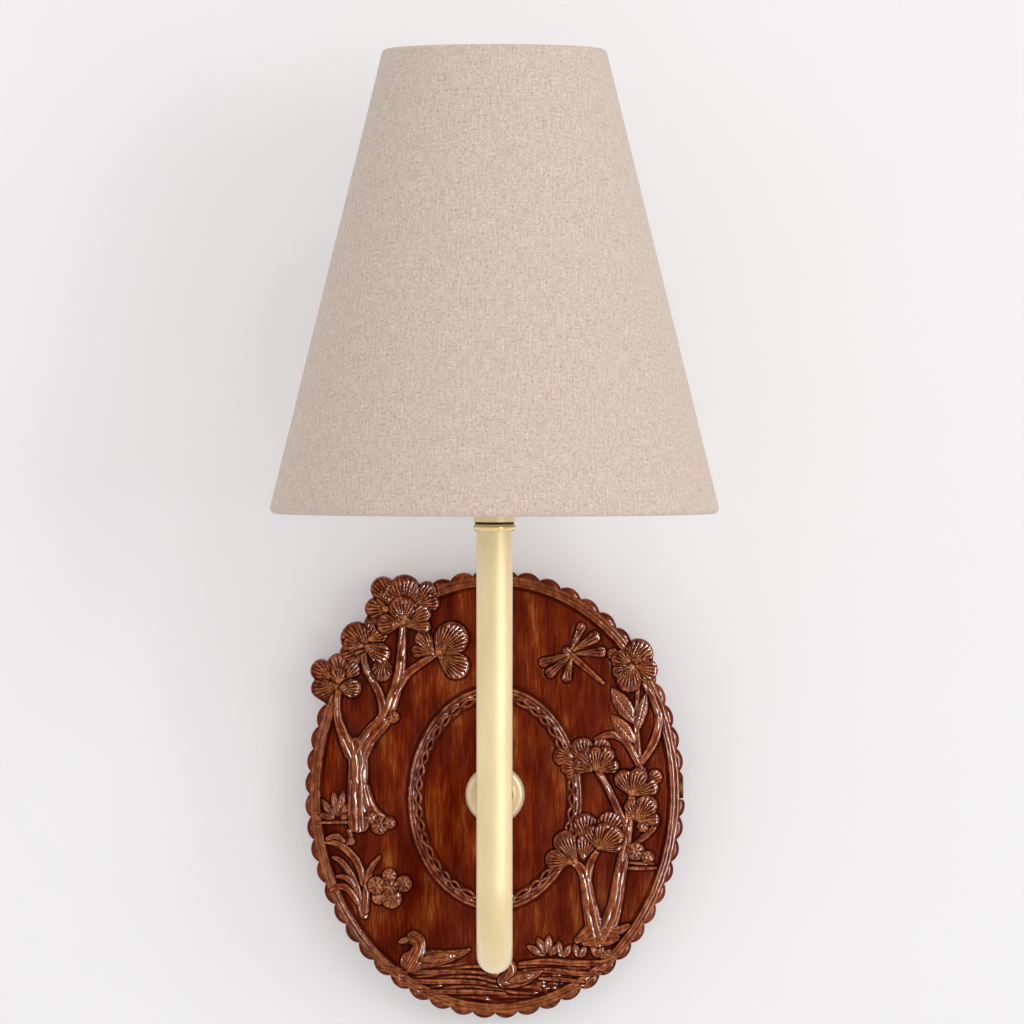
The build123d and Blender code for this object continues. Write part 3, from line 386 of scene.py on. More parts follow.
def rounded(points, radius, steps=6):
    """A closed outline with its corners rounded, and a point that holds each side straight."""
    outline = []
    for index, corner in enumerate(points):
        corner = Vector(corner)
        before = Vector(points[index - 1]) - corner
        after = Vector(points[(index + 1) % len(points)]) - corner
        cut = min(radius, 0.45 * before.length, 0.45 * after.length)
        start = corner + before.normalized() * cut
        end = corner + after.normalized() * cut
        outline.append(corner + before.normalized() * cut * 1.1)
        for step in range(steps + 1):
            t = step / steps
            outline.append(start * (1 - t) ** 2 + corner * 2 * t * (1 - t) + end * t**2)
        outline.append(corner + after.normalized() * cut * 1.1)
    return outline


def turned(name, outline, place, columns=96):
    """A turned piece from a closed outline of radius and height."""
    angles = np.linspace(0, 2 * math.pi, columns, endpoint=False)
    rows = []
    for radius, height in outline:
        rows.append(place(radius * np.cos(angles), radius * np.sin(angles), np.full(columns, height)))
    return grid_mesh(name, rows, closed=True)


def dress(piece, body, slot, material, *replaced):
    """Gives a piece its material, its body and the nodes that it stands for."""
    piece.data.materials.append(material)
    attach(piece, body)
    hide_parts(*replaced)


# Material helpers


def srgb(red, green, blue):
    """A colour of 0 to 255 as it looks on screen, as the linear colour that a shader takes."""
    linear = []
    for value in (red, green, blue):
        share = value / 255
        linear.append(share / 12.92 if share <= 0.04045 else ((share + 0.055) / 1.055) ** 2.4)
    return (*linear, 1.0)


def new_material(name):
    """A new material, its tree of nodes and its main shader."""
    material = bpy.data.materials.new(name)
    material.use_nodes = True
    tree = material.node_tree
    return material, tree, tree.nodes["Principled BSDF"]


def put(socket, value):
    """Sets a socket to a value, or joins another node's output to it."""
    if isinstance(value, bpy.types.NodeSocket):
        socket.id_data.links.new(value, socket)
    else:
        socket.default_value = value


def add(tree, kind, inputs, **settings):
    """A shader node with its settings and inputs; an input is a value or another node's output."""
    node = tree.nodes.new("ShaderNode" + kind)
    for key, value in settings.items():
        setattr(node, key, value)
    for key, value in inputs.items():
        put(node.inputs[key], value)
    return node


def maths(operation, first, second=0.0):
    """An operation on a node's output and a value or another output."""
    return add(first.id_data, "Math", {0: first, 1: second}, operation=operation).outputs[0]


def plus(first, second):
    return maths("ADD", first, second)


def times(first, second):
    return maths("MULTIPLY", first, second)


def stretched(tree, x, y, z):
    """Object coordinates in units of the given millimetres."""
    place = add(tree, "TexCoord", {}).outputs["Object"]
    scale = (1 / (x * MM), 1 / (y * MM), 1 / (z * MM))
    return add(tree, "Mapping", {"Vector": place, "Scale": scale}).outputs[0]


def noise(vector, detail=3.0, roughness=0.55):
    inputs = {"Vector": vector, "Scale": 1.0, "Detail": detail, "Roughness": roughness}
    return add(vector.id_data, "TexNoise", inputs).outputs[0]


def ramp(factor, *stops):
    """A colour ramp through stops of place and colour."""
    node = add(factor.id_data, "ValToRGB", {0: factor})
    elements = node.color_ramp.elements
    while len(elements) < len(stops):
        elements.new(0.5)
    for element, (place, colour) in zip(elements, stops):
        element.position = place
        element.color = colour
    return node.outputs[0]


def scaled(factor, low, high):
    """A factor of 0 to 1 spread between two values."""
    inputs = {"Value": factor, "To Min": low, "To Max": high}
    return add(factor.id_data, "MapRange", inputs).outputs[0]


def mix(factor, first, second, blend="MIX"):
    """A node's colour mixed with a second colour."""
    node = add(first.id_data, "Mix", {0: factor}, data_type="RGBA", blend_type=blend)
    put(node.inputs[6], first)
    put(node.inputs[7], second)
    return node.outputs[2]


def bump(shader, height, millimetres, strength=1.0):
    inputs = {"Height": height, "Distance": millimetres * MM, "Strength": strength}
    put(shader.inputs["Normal"], add(shader.id_data, "Bump", inputs).outputs[0])


def mottled(name, dark, light, grain, metallic, roughness, relief=0.02):
    """A finish whose colour, gloss and surface all vary a little; grain is its scale in millimetres."""
    material, tree, shader = new_material(name)
    cloud = noise(stretched(tree, *grain))
    fine = noise(stretched(tree, *[size / 6 for size in grain]))
    put(shader.inputs["Base Color"], ramp(cloud, (0.3, srgb(*dark)), (0.7, srgb(*light))))
    put(shader.inputs["Roughness"], scaled(fine, *roughness))
    shader.inputs["Metallic"].default_value = metallic
    bump(shader, fine, relief)
    return material


# Materials


def wood_ground(tree, fibre):
    """Colour of the board's ground: an upright grain, darker in smudges and towards the foot."""
    stripe = noise(stretched(tree, 10, 10, 34))
    ground = ramp(
        plus(times(fibre, 0.42), times(stripe, 0.58)),
        (0.38, srgb(76, 12, 0)),
        (0.47, srgb(101, 26, 2)),
        (0.55, srgb(126, 45, 10)),
        (0.63, srgb(164, 88, 36)),
    )
    # darker towards the board's foot
    upright = add(tree, "SeparateXYZ", {0: stretched(tree, 90, 90, 90)}).outputs[2]
    fall = {"Value": upright, "From Min": -0.9, "From Max": 0.1, "To Min": 0.35, "To Max": 0.0}
    darker_low = add(tree, "MapRange", fall).outputs[0]
    ground = mix(darker_low, ground, srgb(50, 8, 2))
    cloud = noise(stretched(tree, 13, 13, 17))
    smudge = ramp(cloud, (0.46, (0, 0, 0, 1)), (0.66, (0.4, 0.4, 0.4, 1)))
    return mix(smudge, ground, srgb(72, 15, 2))


def wood_material():
    """Varnished red-brown hardwood: dark stain and painted shade in the cuts, bare worn wood and painted
    highlights on crests, gloss on carved slopes.
    """
    material, tree, shader = new_material("carved_wood")
    fibre = noise(stretched(tree, 0.6, 0.6, 8), 5.0, 0.7)
    pore = noise(stretched(tree, 0.45, 0.45, 4), 2.0)
    patch = noise(stretched(tree, 2.2, 2.2, 3), 2.0)
    relief = ramp(
        patch,
        (0.32, srgb(70, 14, 0)),
        (0.48, srgb(98, 29, 6)),
        (0.60, srgb(126, 50, 18)),
        (0.72, srgb(168, 90, 44)),
    )
    carve = add(tree, "Attribute", {}, attribute_name="carve")
    stain_and_shade, worn_and_sheen, raised = add(tree, "SeparateColor", {0: carve.outputs["Color"]}).outputs
    colour = mix(times(raised, 0.7), wood_ground(tree, fibre), relief)
    pores = ramp(pore, (0.28, (0.45, 0.38, 0.36, 1)), (0.40, (1, 1, 1, 1)))
    colour = mix(0.5, colour, pores, "MULTIPLY")
    bare = times(carve.outputs["Alpha"], scaled(patch, -0.1, 1.5))
    colour = mix(bare, colour, srgb(212, 132, 72))
    # worn wood and painted highlights on crests, lighter in colour
    rubbed_and_sheen = times(worn_and_sheen, scaled(patch, -0.6, 1.2))
    colour = mix(rubbed_and_sheen, colour, srgb(210, 132, 86))
    # dark stain and painted shade in the cuts and round raised motifs
    colour = mix(times(stain_and_shade, 0.88), colour, srgb(58, 11, 0))
    put(shader.inputs["Base Color"], colour)
    satin = plus(times(fibre, 0.2), 0.34)
    put(shader.inputs["Roughness"], plus(satin, times(stain_and_shade, 0.3)))
    shader.inputs["Specular IOR Level"].default_value = 0.01
    slope = add(tree, "Attribute", {}, attribute_name="slope").outputs["Fac"]
    put(shader.inputs["Coat Weight"], slope)
    shader.inputs["Coat Roughness"].default_value = 0.14
    shader.inputs["Coat IOR"].default_value = 1.52
    bump(shader, plus(fibre, times(pore, 0.5)), 0.06, 0.6)
    return material


def brass_material(name, dark, light, roughness):
    """Brass with a soft satin grain under clear lacquer."""
    material = mottled(name, dark, light, (9, 9, 30), 1.0, roughness, 0.004)
    shader = material.node_tree.nodes["Principled BSDF"]
    shader.inputs["Coat Weight"].default_value = 1.0
    shader.inputs["Coat Roughness"].default_value = 0.3
    shader.inputs["Coat IOR"].default_value = 1.7
    return material


def on_cloth(flat, across, along):
    """Flat coordinates of the cloth in units of the given millimetres."""
    scale = (1 / (across * MM), 1 / (along * MM), 1)
    return add(flat.id_data, "Mapping", {"Vector": flat, "Scale": scale}).outputs[0]


def linen_weave(flat):
    """Height of plain-woven threads that drift a little from their lines."""
    place = add(flat.id_data, "SeparateXYZ", {0: flat}).outputs
    drift = times(noise(on_cloth(flat, 9, 9), 2.0), THREAD_PITCH * MM)
    turns = math.pi / (THREAD_PITCH * MM)
    warp = maths("SINE", times(plus(place[0], drift), turns))
    weft = maths("SINE", times(plus(place[1], drift), turns))
    over = times(warp, weft)
    threads = []
    for wave, share in ((warp, 0.45), (weft, -0.45)):
        on_top = plus(times(over, share), 0.6)
        threads.append(times(maths("ABSOLUTE", wave), on_top))
    return maths("MAXIMUM", *threads)


def linen_material():
    """Beige linen in plain weave, with uneven threads, on the cloth's flat coordinates."""
    material, tree, shader = new_material("beige_linen")
    flat = add(tree, "UVMap", {}, uv_map="flat").outputs[0]
    weave = linen_weave(flat)
    tall = noise(on_cloth(flat, 0.9, 6), 2.0)
    wide = noise(on_cloth(flat, 6, 0.9), 2.0)
    slub = noise(on_cloth(flat, 0.95, 1.1), 1.0)
    tone = plus(times(tall, 0.65), times(wide, 0.35))
    colour = ramp(
        tone,
        (0.34, srgb(201, 183, 169)),
        (0.50, srgb(211, 195, 181)),
        (0.66, srgb(220, 205, 192)),
    )
    # painted shade between the threads, where the weave dips
    shade = ramp(weave, (0.05, (0.76, 0.73, 0.70, 1)), (0.70, (1.05, 1.05, 1.05, 1)))
    colour = mix(1.0, colour, shade, "MULTIPLY")
    specks = ramp(
        slub,
        (0.28, (0.72, 0.70, 0.68, 1)),
        (0.42, (0.98, 0.97, 0.97, 1)),
        (0.58, (1.0, 1.0, 1.0, 1)),
        (0.72, (1.16, 1.16, 1.15, 1)),
    )
    put(shader.inputs["Base Color"], mix(1.0, colour, specks, "MULTIPLY"))
    put(shader.inputs["Roughness"], scaled(tone, 0.8, 1.0))
    shader.inputs["Specular IOR Level"].default_value = 0.15
    shader.inputs["Sheen Weight"].default_value = 0.12
    bump(shader, plus(weave, times(tone, 0.4)), 0.13, 0.8)
    return material


def stage_material():
    """Pale matt paint, seen only from its front, that lets light through to a back that it touches."""
    material, tree, shader = new_material("pale_wall")
    cloud = noise(stretched(tree, 300, 300, 300))
    colour = ramp(cloud, (0.3, srgb(241, 240, 240)), (0.7, srgb(244, 243, 244)))
    put(shader.inputs["Base Color"], colour)
    shader.inputs["Roughness"].default_value = 0.95
    shader.inputs["Specular IOR Level"].default_value = 0.05
    path = add(tree, "LightPath", {}).outputs
    glow = add(tree, "Emission", {"Color": srgb(239, 237, 238)})
    softening = times(path["Is Camera Ray"], SHADOW_SOFTENING)
    lit = add(tree, "MixShader", {0: softening, 1: shader.outputs[0], 2: glow.outputs[0]})
    clear = add(tree, "BsdfTransparent", {})
    behind = add(tree, "NewGeometry", {}).outputs["Backfacing"]
    touching = maths("LESS_THAN", path["Ray Length"], TOUCH * MM)
    open_side = maths("MAXIMUM", behind, touching)
    chosen = add(tree, "MixShader", {0: open_side, 1: lit.outputs[0], 2: clear.outputs[0]})
    put(tree.nodes["Material Output"].inputs["Surface"], chosen.outputs[0])
    return material


satin_brass = brass_material("satin_brass", (236, 213, 158), (245, 226, 178), (0.50, 0.60))
polished_brass = brass_material("polished_brass", (238, 205, 138), (246, 218, 158), (0.08, 0.16))
rosette_brass = brass_material("rosette_brass", (216, 186, 142), (238, 212, 168), (0.38, 0.48))
carved_wood = wood_material()
beige_linen = linen_material()

# Plain finishes: darker and lighter colour, grain in millimetres, metal or not, range of roughness
plain_finishes = {
    "dark_fibre": ((24, 14, 8), (44, 28, 18), (1.5, 1.5, 1.5), 0.0, (0.6, 0.9)),
    "zinc_steel": ((160, 162, 164), (196, 198, 198), (6, 6, 6), 1.0, (0.28, 0.48)),
    "bronzed_steel": ((120, 92, 56), (164, 130, 82), (6, 6, 6), 1.0, (0.3, 0.5)),
    "plain_brass": ((206, 172, 98), (228, 196, 124), (6, 6, 6), 1.0, (0.25, 0.42)),
    "green_screw": ((22, 96, 48), (36, 122, 62), (1.5, 1.5, 1.5), 0.4, (0.3, 0.5)),
    "white_plastic": ((226, 224, 216), (236, 234, 228), (3, 3, 3), 0.0, (0.35, 0.55)),
    "black_phenolic": ((20, 18, 17), (38, 35, 33), (2, 2, 2), 0.0, (0.25, 0.45)),
    "white_ceramic": ((228, 224, 214), (240, 237, 230), (2, 2, 2), 0.0, (0.15, 0.35)),
    "white_enamel": ((230, 228, 222), (240, 238, 234), (3, 3, 3), 0.0, (0.2, 0.4)),
    "white_liner": ((228, 224, 214), (238, 235, 227), (4, 4, 4), 0.0, (0.45, 0.65)),
    "solder": ((150, 150, 152), (186, 186, 188), (1, 1, 1), 1.0, (0.35, 0.6)),
    "black_glass": ((14, 14, 18), (26, 26, 32), (2, 2, 2), 0.0, (0.05, 0.2)),
    "cap_metal": ((176, 172, 164), (206, 202, 194), (4, 4, 12), 1.0, (0.2, 0.38)),
    "opal_glass": ((236, 234, 228), (243, 241, 237), (14, 14, 14), 0.0, (0.12, 0.22), 0.002),
    "brown_wire": ((78, 44, 24), (100, 58, 34), (2, 2, 2), 0.0, (0.4, 0.6)),
    "blue_wire": ((30, 66, 140), (46, 86, 166), (2, 2, 2), 0.0, (0.4, 0.6)),
    "green_wire": ((46, 110, 40), (176, 176, 36), (30, 30, 5), 0.0, (0.4, 0.6)),
}
finishes = {"satin_brass": satin_brass}
for finish_name, finish in plain_finishes.items():
    finishes[finish_name] = mottled(finish_name, *finish)


# Carved board


def smooth_step(value, low, high):
    share = np.clip((value - low) / (high - low), 0, 1)
    return share * share * (3 - 2 * share)


def ridge(distance, centre, width):
    return np.exp(-(((distance - centre) / width) ** 2))


def rounded_over(inside, half):
    """A half-round profile: 0 at an edge, 1 at half the width inside it."""
    share = np.clip(inside / half, 0, 1)
    return np.sqrt(1 - (1 - share) ** 2)


def plateau(distance, start, end, edge):
    rise = smooth_step(distance, start, start + edge)
    return rise * (1 - smooth_step(distance, end - edge, end))


def value_noise(x, z, seed):
    """Smooth random values between -1 and 1, one for each unit of x and z."""
    table = np.random.default_rng(seed).uniform(-1, 1, (NOISE_CELLS, NOISE_CELLS))
    column = np.floor(x).astype(int)
    row = np.floor(z).astype(int)
    across = smooth_step(x - column, 0, 1)
    up = smooth_step(z - row, 0, 1)

    def upright(side):
        low = table[row % NOISE_CELLS, side % NOISE_CELLS]
        high = table[(row + 1) % NOISE_CELLS, side % NOISE_CELLS]
        return low * (1 - up) + high * up

    return upright(column) * (1 - across) + upright(column + 1) * across


def oval_inset(x, z, wide, high):
    """How far points lie inside an oval, in millimetres."""
    reach = np.sqrt((x / wide) ** 2 + (z / high) ** 2) + 1e-9
    slope = np.sqrt((x / wide**2) ** 2 + (z / high**2) ** 2) / reach + 1e-9
    return (1 - reach) / slope


def even_angles(wide, high, count):
    """Angles of points that lie evenly along an oval."""
    angle = np.linspace(0, 2 * math.pi, 7201)
    step = np.hypot(wide * np.sin(angle), high * np.cos(angle))
    length = np.concatenate([[0], np.cumsum((step[1:] + step[:-1]) / 2)])
    return np.interp(np.arange(count) / count * length[-1], length, angle)


def oval_share(x, z, wide, high):
    """How far along an oval points lie, from 0 to 1."""
    spread = np.append(even_angles(wide, high, 720), 2 * math.pi)
    angle = np.arctan2(z / high, x / wide) % (2 * math.pi)
    return np.interp(angle, spread, np.linspace(0, 1, 721))


def softened(points):
    """A stroke's points with their corners cut twice, so that it bends smoothly."""
    line = np.asarray(points, float)
    for _ in range(2):
        near = line[:-1] * 0.75 + line[1:] * 0.25
        far = line[:-1] * 0.25 + line[1:] * 0.75
        between = np.stack([near, far], 1).reshape(-1, 3)
        line = np.concatenate([line[:1], between[1:-1], line[-1:]])
    return line


def petal_place(x, z, petal):
    """How far points lie inside a petal, which widens to a round end, and along and across it."""
    pivot_x, pivot_z, direction, length, width = petal
    turn = math.radians(direction)
    right = x - pivot_x
    up = z - pivot_z
    along = right * math.cos(turn) + up * math.sin(turn)
    across = up * math.cos(turn) - right * math.sin(turn)
    end = width / 2
    reach = length - end
    slant = (PETAL_FOOT - end) / reach
    upright = math.sqrt(1 - slant**2)
    side = np.abs(across)
    station = upright * along - slant * side
    room = PETAL_FOOT - upright * side - slant * along
    room = np.where(station < 0, PETAL_FOOT - np.hypot(side, along), room)
    room = np.where(station > upright * reach, end - np.hypot(side, along - reach), room)
    return room, along, across


class Carving:
    """Heights of the board's relief above its ground, at points of its face, in millimetres."""

    def __init__(self, x, z, phase, edge):
        self.x = x
        self.z = z
        self.inset = oval_inset(x, z, half_width, half_height)
        self.height = 0.12 * value_noise(x / 2.4, z / 17, 1) + 0.08 * value_noise(x / 6, z / 9, 2)
        self.height *= smooth_step(np.hypot(x, z), 14, 18)
        self.heart = np.zeros_like(self.height)
        self.water()
        self.border(phase, edge)
        self.ring()

    def water(self):
        """Ripples across the foot of the scene, and rough earth on their right."""
        drift = 0.9 * np.sin(self.x / 7) + 0.9 * value_noise(self.x / 9, self.z / 3, 3)
        ripple = np.cos(2 * math.pi * (self.z + drift) / RIPPLE_PITCH)
        ripple *= 0.7 + 0.3 * value_noise(self.x / 4, self.z / 2, 4)
        earth = 0.9 * value_noise(self.x / 1.6, self.z / 1.1, 6)
        right = smooth_step(self.x, EARTH_START, EARTH_END)
        low = smooth_step(WATER_LINE - self.z, -1.0 - 2.0 * right, 1.0)
        wave = ripple * (1 - right) + earth * right
        self.height += low * (0.5 + 0.55 * wave)
        self.heart += 0.4 * low * np.clip(wave, 0, 1)

    def border(self, phase, edge):
        """Scallops, and a raised band of three ridges inside them."""
        inset = self.inset
        lean = 0.35 + 0.3 * np.clip(inset - LOBE + 0.9, 0, BORDER + 0.9)
        band = lean * plateau(inset, LOBE - 0.9, LOBE + BORDER, 0.9)
        for place, half in BORDER_RIDGES:
            band += RIDGE_RISE * rounded_over(half - np.abs(inset - LOBE - place), half)
        tool_marks = 0.14 * value_noise(self.x / 1.5, self.z / 5, 8)
        band += tool_marks * plateau(inset, LOBE, LOBE + BORDER, 0.8)
        lobe = np.sqrt(np.clip(1 - (2 * phase - 1) ** 2, 0, 1))
        dome = -0.1 + 0.9 * lobe - 1.3 * (1 - np.sqrt(np.clip(edge / 1.8, 0, 1)))
        rim = 1 - smooth_step(inset, LOBE - 0.9, LOBE)
        inside = smooth_step(inset, LOBE + BORDER - 0.2, LOBE + BORDER + 0.5)
        moat = CUT * ridge(inset, LOBE + BORDER + 0.5, 0.5)
        self.height = self.height * inside + band + dome * rim - moat
        self.heart += 0.25 * plateau(inset, LOBE - 0.9, LOBE + BORDER, 0.9)

    def ring(self):
        """An oval of two ridges, with a chain of twisted links inside them."""
        x = self.x
        z = self.z + RING_DROP
        inset = oval_inset(x, z, RING_HALF_WIDTH, RING_HALF_HEIGHT)
        band = 0.55 * plateau(inset, -0.2, CHAIN_INSET, 0.6) - 0.3 * ridge(inset, -0.6, 0.9)
        band += 0.8 * ridge(inset, 0.8, 0.6) + 0.6 * ridge(inset, 2.2, 0.45)
        band -= 0.3 * ridge(inset, RING_BAND, 0.5)
        wide = RING_HALF_WIDTH - CHAIN_INSET
        high = RING_HALF_HEIGHT - CHAIN_INSET
        link = oval_share(x, z, wide, high) * CHAIN_LINKS
        link = link + 0.12 * value_noise(link * 0.7, np.zeros_like(link), 7)
        sway = CHAIN_SWAY * np.cos(math.pi * link)
        over = np.sign(np.sin(math.pi * (np.floor(link) + 0.5)))
        crossing = 0.4 * np.abs(np.sin(math.pi * link)) ** 6
        first = ridge(inset, CHAIN_INSET + sway, CHAIN_WIDTH) * (1 - crossing * (over > 0))
        second = ridge(inset, CHAIN_INSET - sway, CHAIN_WIDTH) * (1 - crossing * (over <= 0))
        chain = CHAIN_RISE * np.maximum(first, second)
        along = (link - np.round(link)) * 6.0
        pit = np.exp(-(along**2 + (inset - CHAIN_INSET) ** 2) / 0.55)
        near = np.abs(inset - RING_BAND / 2) < RING_BAND
        self.height += np.where(near, band + chain - pit, 0)

    def near(self, x, z, margin):
        """Indices of the points near a motif that spans the given coordinates."""
        close = (self.x > np.min(x) - margin) & (self.x < np.max(x) + margin)
        close &= (self.z > np.min(z) - margin) & (self.z < np.max(z) + margin)
        return np.nonzero(close)

    def lay(self, where, inside, top, heart=0.0):
        """Sets a motif over what lies under it, with a cut round it; heart is how bare its wood is."""
        self.heart[where] = np.where(inside > 0, heart, self.heart[where])
        under = self.height[where]
        depth = CUT * (0.8 + 0.6 * value_noise(self.x[where] / 6, self.z[where] / 6, 11))
        cut = under - depth * np.exp(-((np.minimum(inside, 0) / 0.45) ** 2))
        self.height[where] = cut + (top - cut) * smooth_step(inside, -0.1, 0.4)

    def petal(self, petal, high):
        """A domed petal with grooves that run out from its pivot and fade at its rim."""
        pivot_x, pivot_z, _, length, width = petal
        where = self.near([pivot_x], [pivot_z], length + 2)
        room, along, across = petal_place(self.x[where], self.z[where], petal)
        reach = np.hypot(along, across)
        angle = np.arctan2(across, along)
        spread = 2 * math.asin(min(0.5 * width / (length - 0.5 * width), 0.92))
        grooves = max(3, round(0.7 * spread * length / RAY_PITCH))
        phase = angle / spread * grooves + 0.2 * value_noise(reach / 2.5, angle * 4, 10)
        groove = (0.5 - 0.5 * np.cos(2 * math.pi * phase)) ** 2
        fade = 1 - 0.8 * smooth_step(reach, 0.6 * length, 0.95 * length)
        top = high * (0.25 + 0.75 * rounded_over(room, 0.5 * width))
        top -= RAY_DEPTH * groove * fade * smooth_step(reach, 0.6, 2.6)
        heart = (1 - smooth_step(reach, 0.1 * length, 0.75 * length)) * (1 - groove)
        self.lay(where, room - 0.2 * groove, top, heart)

    def limb(self, points, high, grooves):
        """A trunk, stem or blade through points of x, z and width, with grooves along it."""
        depth, pitch = grooves
        line = softened(points)
        where = self.near(line[:, 0], line[:, 1], line[:, 2].max() + 1)
        x = self.x[where]
        z = self.z[where]
        inside = np.full(x.shape, -99.0)
        offset = np.zeros(x.shape)
        travel = np.zeros(x.shape)
        done = 0.0
        for start, end in zip(line[:-1], line[1:]):
            run = end - start
            length = math.hypot(run[0], run[1])
            share = ((x - start[0]) * run[0] + (z - start[1]) * run[1]) / length**2
            share = np.clip(share, 0, 1)
            away = np.hypot(x - start[0] - share * run[0], z - start[1] - share * run[1])
            room = (start[2] + share * run[2]) / 2 - away
            side = ((x - start[0]) * run[1] - (z - start[1]) * run[0]) / length
            better = room > inside
            inside = np.where(better, room, inside)
            offset = np.where(better, side, offset)
            travel = np.where(better, done + share * length, travel)
            done += length
        crown = rounded_over(inside, inside + np.abs(offset) + 1e-6)
        wobble = 0.8 * value_noise(travel / 5, offset, 5)
        grain = 0.5 + 0.5 * np.cos(2 * math.pi * (offset + wobble) / pitch)
        top = high * (0.25 + 0.75 * crown) - depth * grain * smooth_step(inside, 0.2, 0.9)
        return where, inside, top, 0.5 * crown**2 * (1 - grain)

    def stroke(self, points, high, grooves):
        self.lay(*self.limb(points, high, grooves))

    def grove(self, lines, high, grooves):
        """Trunks and branches that run into each other, laid as one."""
        inside = np.full(self.x.shape, -99.0)
        top = np.zeros(self.x.shape)
        heart = np.zeros(self.x.shape)
        for line in lines:
            where, room, rise, bare = self.limb(line, high, grooves)
            above = (room > -0.2) & (rise > top[where])
            inside[where] = np.maximum(inside[where], room)
            top[where] = np.where(above, rise, top[where])
            heart[where] = np.where(above, bare, heart[where])
        where = np.nonzero(inside > -3)
        self.lay(where, inside[where], top[where], heart[where])

    def leaf(self, x0, z0, x1, z1, width, high, veins):
        """A leaf or wing between two points, with a cut along its middle and slanting veins."""
        length = math.hypot(x1 - x0, z1 - z0)
        where = self.near([x0, x1], [z0, z1], width)
        right = self.x[where] - x0
        up = self.z[where] - z0
        along = (right * (x1 - x0) + up * (z1 - z0)) / length
        across = (up * (x1 - x0) - right * (z1 - z0)) / length
        radius = (length**2 / 4 + width**2 / 4) / width
        offset = radius - width / 2
        away = np.hypot(along - length / 2, np.abs(across) + offset)
        inside = radius - away
        top = high * (0.3 + 0.7 * rounded_over(inside, width / 2))
        top -= 2 * veins * ridge(across, 0, 0.32)
        top -= veins * (0.5 + 0.5 * np.cos(2 * math.pi * (along - 1.2 * np.abs(across)) / VEIN_PITCH))
        self.lay(where, inside, top, 0.2)

    def disc(self, x, z, radius, high):
        """A domed berry or bud with rays cut from its middle."""
        where = self.near([x], [z], radius + 2)
        right = self.x[where] - x
        up = self.z[where] - z
        reach = np.hypot(right, up)
        inside = radius - reach
        top = high * np.sqrt(np.clip(1 - 0.75 * (reach / radius) ** 2, 0.05, 1))
        turn = np.arctan2(up, right) * BERRY_RAYS / (2 * math.pi)
        gap = np.abs(turn - np.round(turn)) * 2 * math.pi / BERRY_RAYS * reach
        top -= 0.6 * ridge(gap, 0, 0.34) * smooth_step(reach, 0.6, 2.0)
        top -= 0.6 * ridge(reach, 0, 0.6)
        self.lay(where, inside, top, 0.2)


def carve_scene(carving):
    """The garden scene, laid from back to front."""
    for line in stems:
        carving.stroke(line, LOW, STEM_GROOVES)
    for leaf in leaves:
        carving.leaf(*leaf, LOW, LEAF_VEINS)
    for wing in wings:
        carving.petal(wing, BACK)
    carving.grove(trunks, MIDDLE, TRUNK_GROOVES)
    for petal in overhang_petals + back_petals:
        carving.petal(petal, BACK)
    for line in birds:
        carving.stroke(line, MIDDLE, FEATHER_GROOVES)
    for leaf in wings_and_beaks:
        carving.leaf(*leaf, MIDDLE + WING_RISE, WING_VEINS)
    for berry in berries:
        carving.disc(*berry, MIDDLE)
    for petal in middle_petals:
        carving.petal(petal, MIDDLE)
    for petal in front_petals:
        carving.petal(petal, HIGH)


# Rays of the board's grid, from an oval inside the ring out to the board's edge
ray_angle = even_angles(half_width, half_height, COLUMNS)
ray_cos = np.cos(ray_angle)
ray_sin = np.sin(ray_angle)
scallop_phase = np.arange(COLUMNS) / COLUMNS * SCALLOPS % 1
inner_x = (RING_HALF_WIDTH - RING_BAND - FIELD_START) * ray_cos
inner_z = (RING_HALF_HEIGHT - RING_BAND - FIELD_START) * ray_sin - RING_DROP
edge_x = half_width * ray_cos
edge_z = half_height * ray_sin
ray_length = np.hypot(edge_x - inner_x, edge_z - inner_z)
out_x = (edge_x - inner_x) / ray_length
out_z = (edge_z - inner_z) / ray_length


def overhang():
    """How far the carving reaches past the oval, along each ray outwards from its edge."""
    reach = np.arange(0, 16, 0.1)
    x = edge_x[:, None] + out_x[:, None] * reach
    z = edge_z[:, None] + out_z[:, None] * reach
    most = np.zeros(COLUMNS)
    for petal in overhang_petals:
        held = petal_place(x, z, petal)[0] > 0
        most = np.maximum(most, np.max(np.where(held, reach, 0), axis=1))
    return most


def board_outline():
    """Where the outline and the start of its rim lie on each ray, outwards from the oval."""
    half_chord = math.pi * half_width / SCALLOPS
    arc = (half_chord**2 + SCALLOP_RISE**2) / (2 * SCALLOP_RISE)
    lobe = np.sqrt(arc**2 - ((scallop_phase - 0.5) * 2 * half_chord) ** 2) - arc
    past = overhang()
    outline = np.where(past > 0, np.maximum(past, lobe), lobe)
    screw_low, screw_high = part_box("side_lock_screw")
    above = edge_z > screw_low.z / MM - NOTCH_ROOM
    below = edge_z < screw_high.z / MM + NOTCH_ROOM
    notch = half_width - NOTCH_DEPTH - edge_x
    outline = np.where((edge_x > 0) & above & below, notch / out_x, outline)
    rim = np.where(past > 0, outline - 1.0, np.minimum(-LOBE, outline - 0.2))
    return outline, rim


def board_front():
    """Points of the board's face, in rings outwards, and how far each lies inside the outline."""
    outline, rim = board_outline()
    field = ray_length - FIELD_INSET
    steps = [share * field for share in np.linspace(0, 1, FRONT_RINGS)]
    for share in np.linspace(0, 1, OUTER_RINGS + 1)[1:]:
        steps.append(field + share * (ray_length + rim - field))
    for share in np.linspace(0, 1, RIM_RINGS + 1)[1:]:
        steps.append(ray_length + rim + share * (outline - rim))
    steps = np.array(steps)
    return inner_x + out_x * steps, inner_z + out_z * steps, outline - (steps - ray_length)


def level(x, z, depth):
    """A ring of points at one depth."""
    return on_wall(x, z, np.full(COLUMNS, float(depth)))


def part_way(first, second, share, depth):
    """A level ring that lies a share of the way from one ring to another."""
    x = first[0] + (second[0] - first[0]) * share
    z = first[1] + (second[1] - first[1]) * share
    return level(x, z, depth)


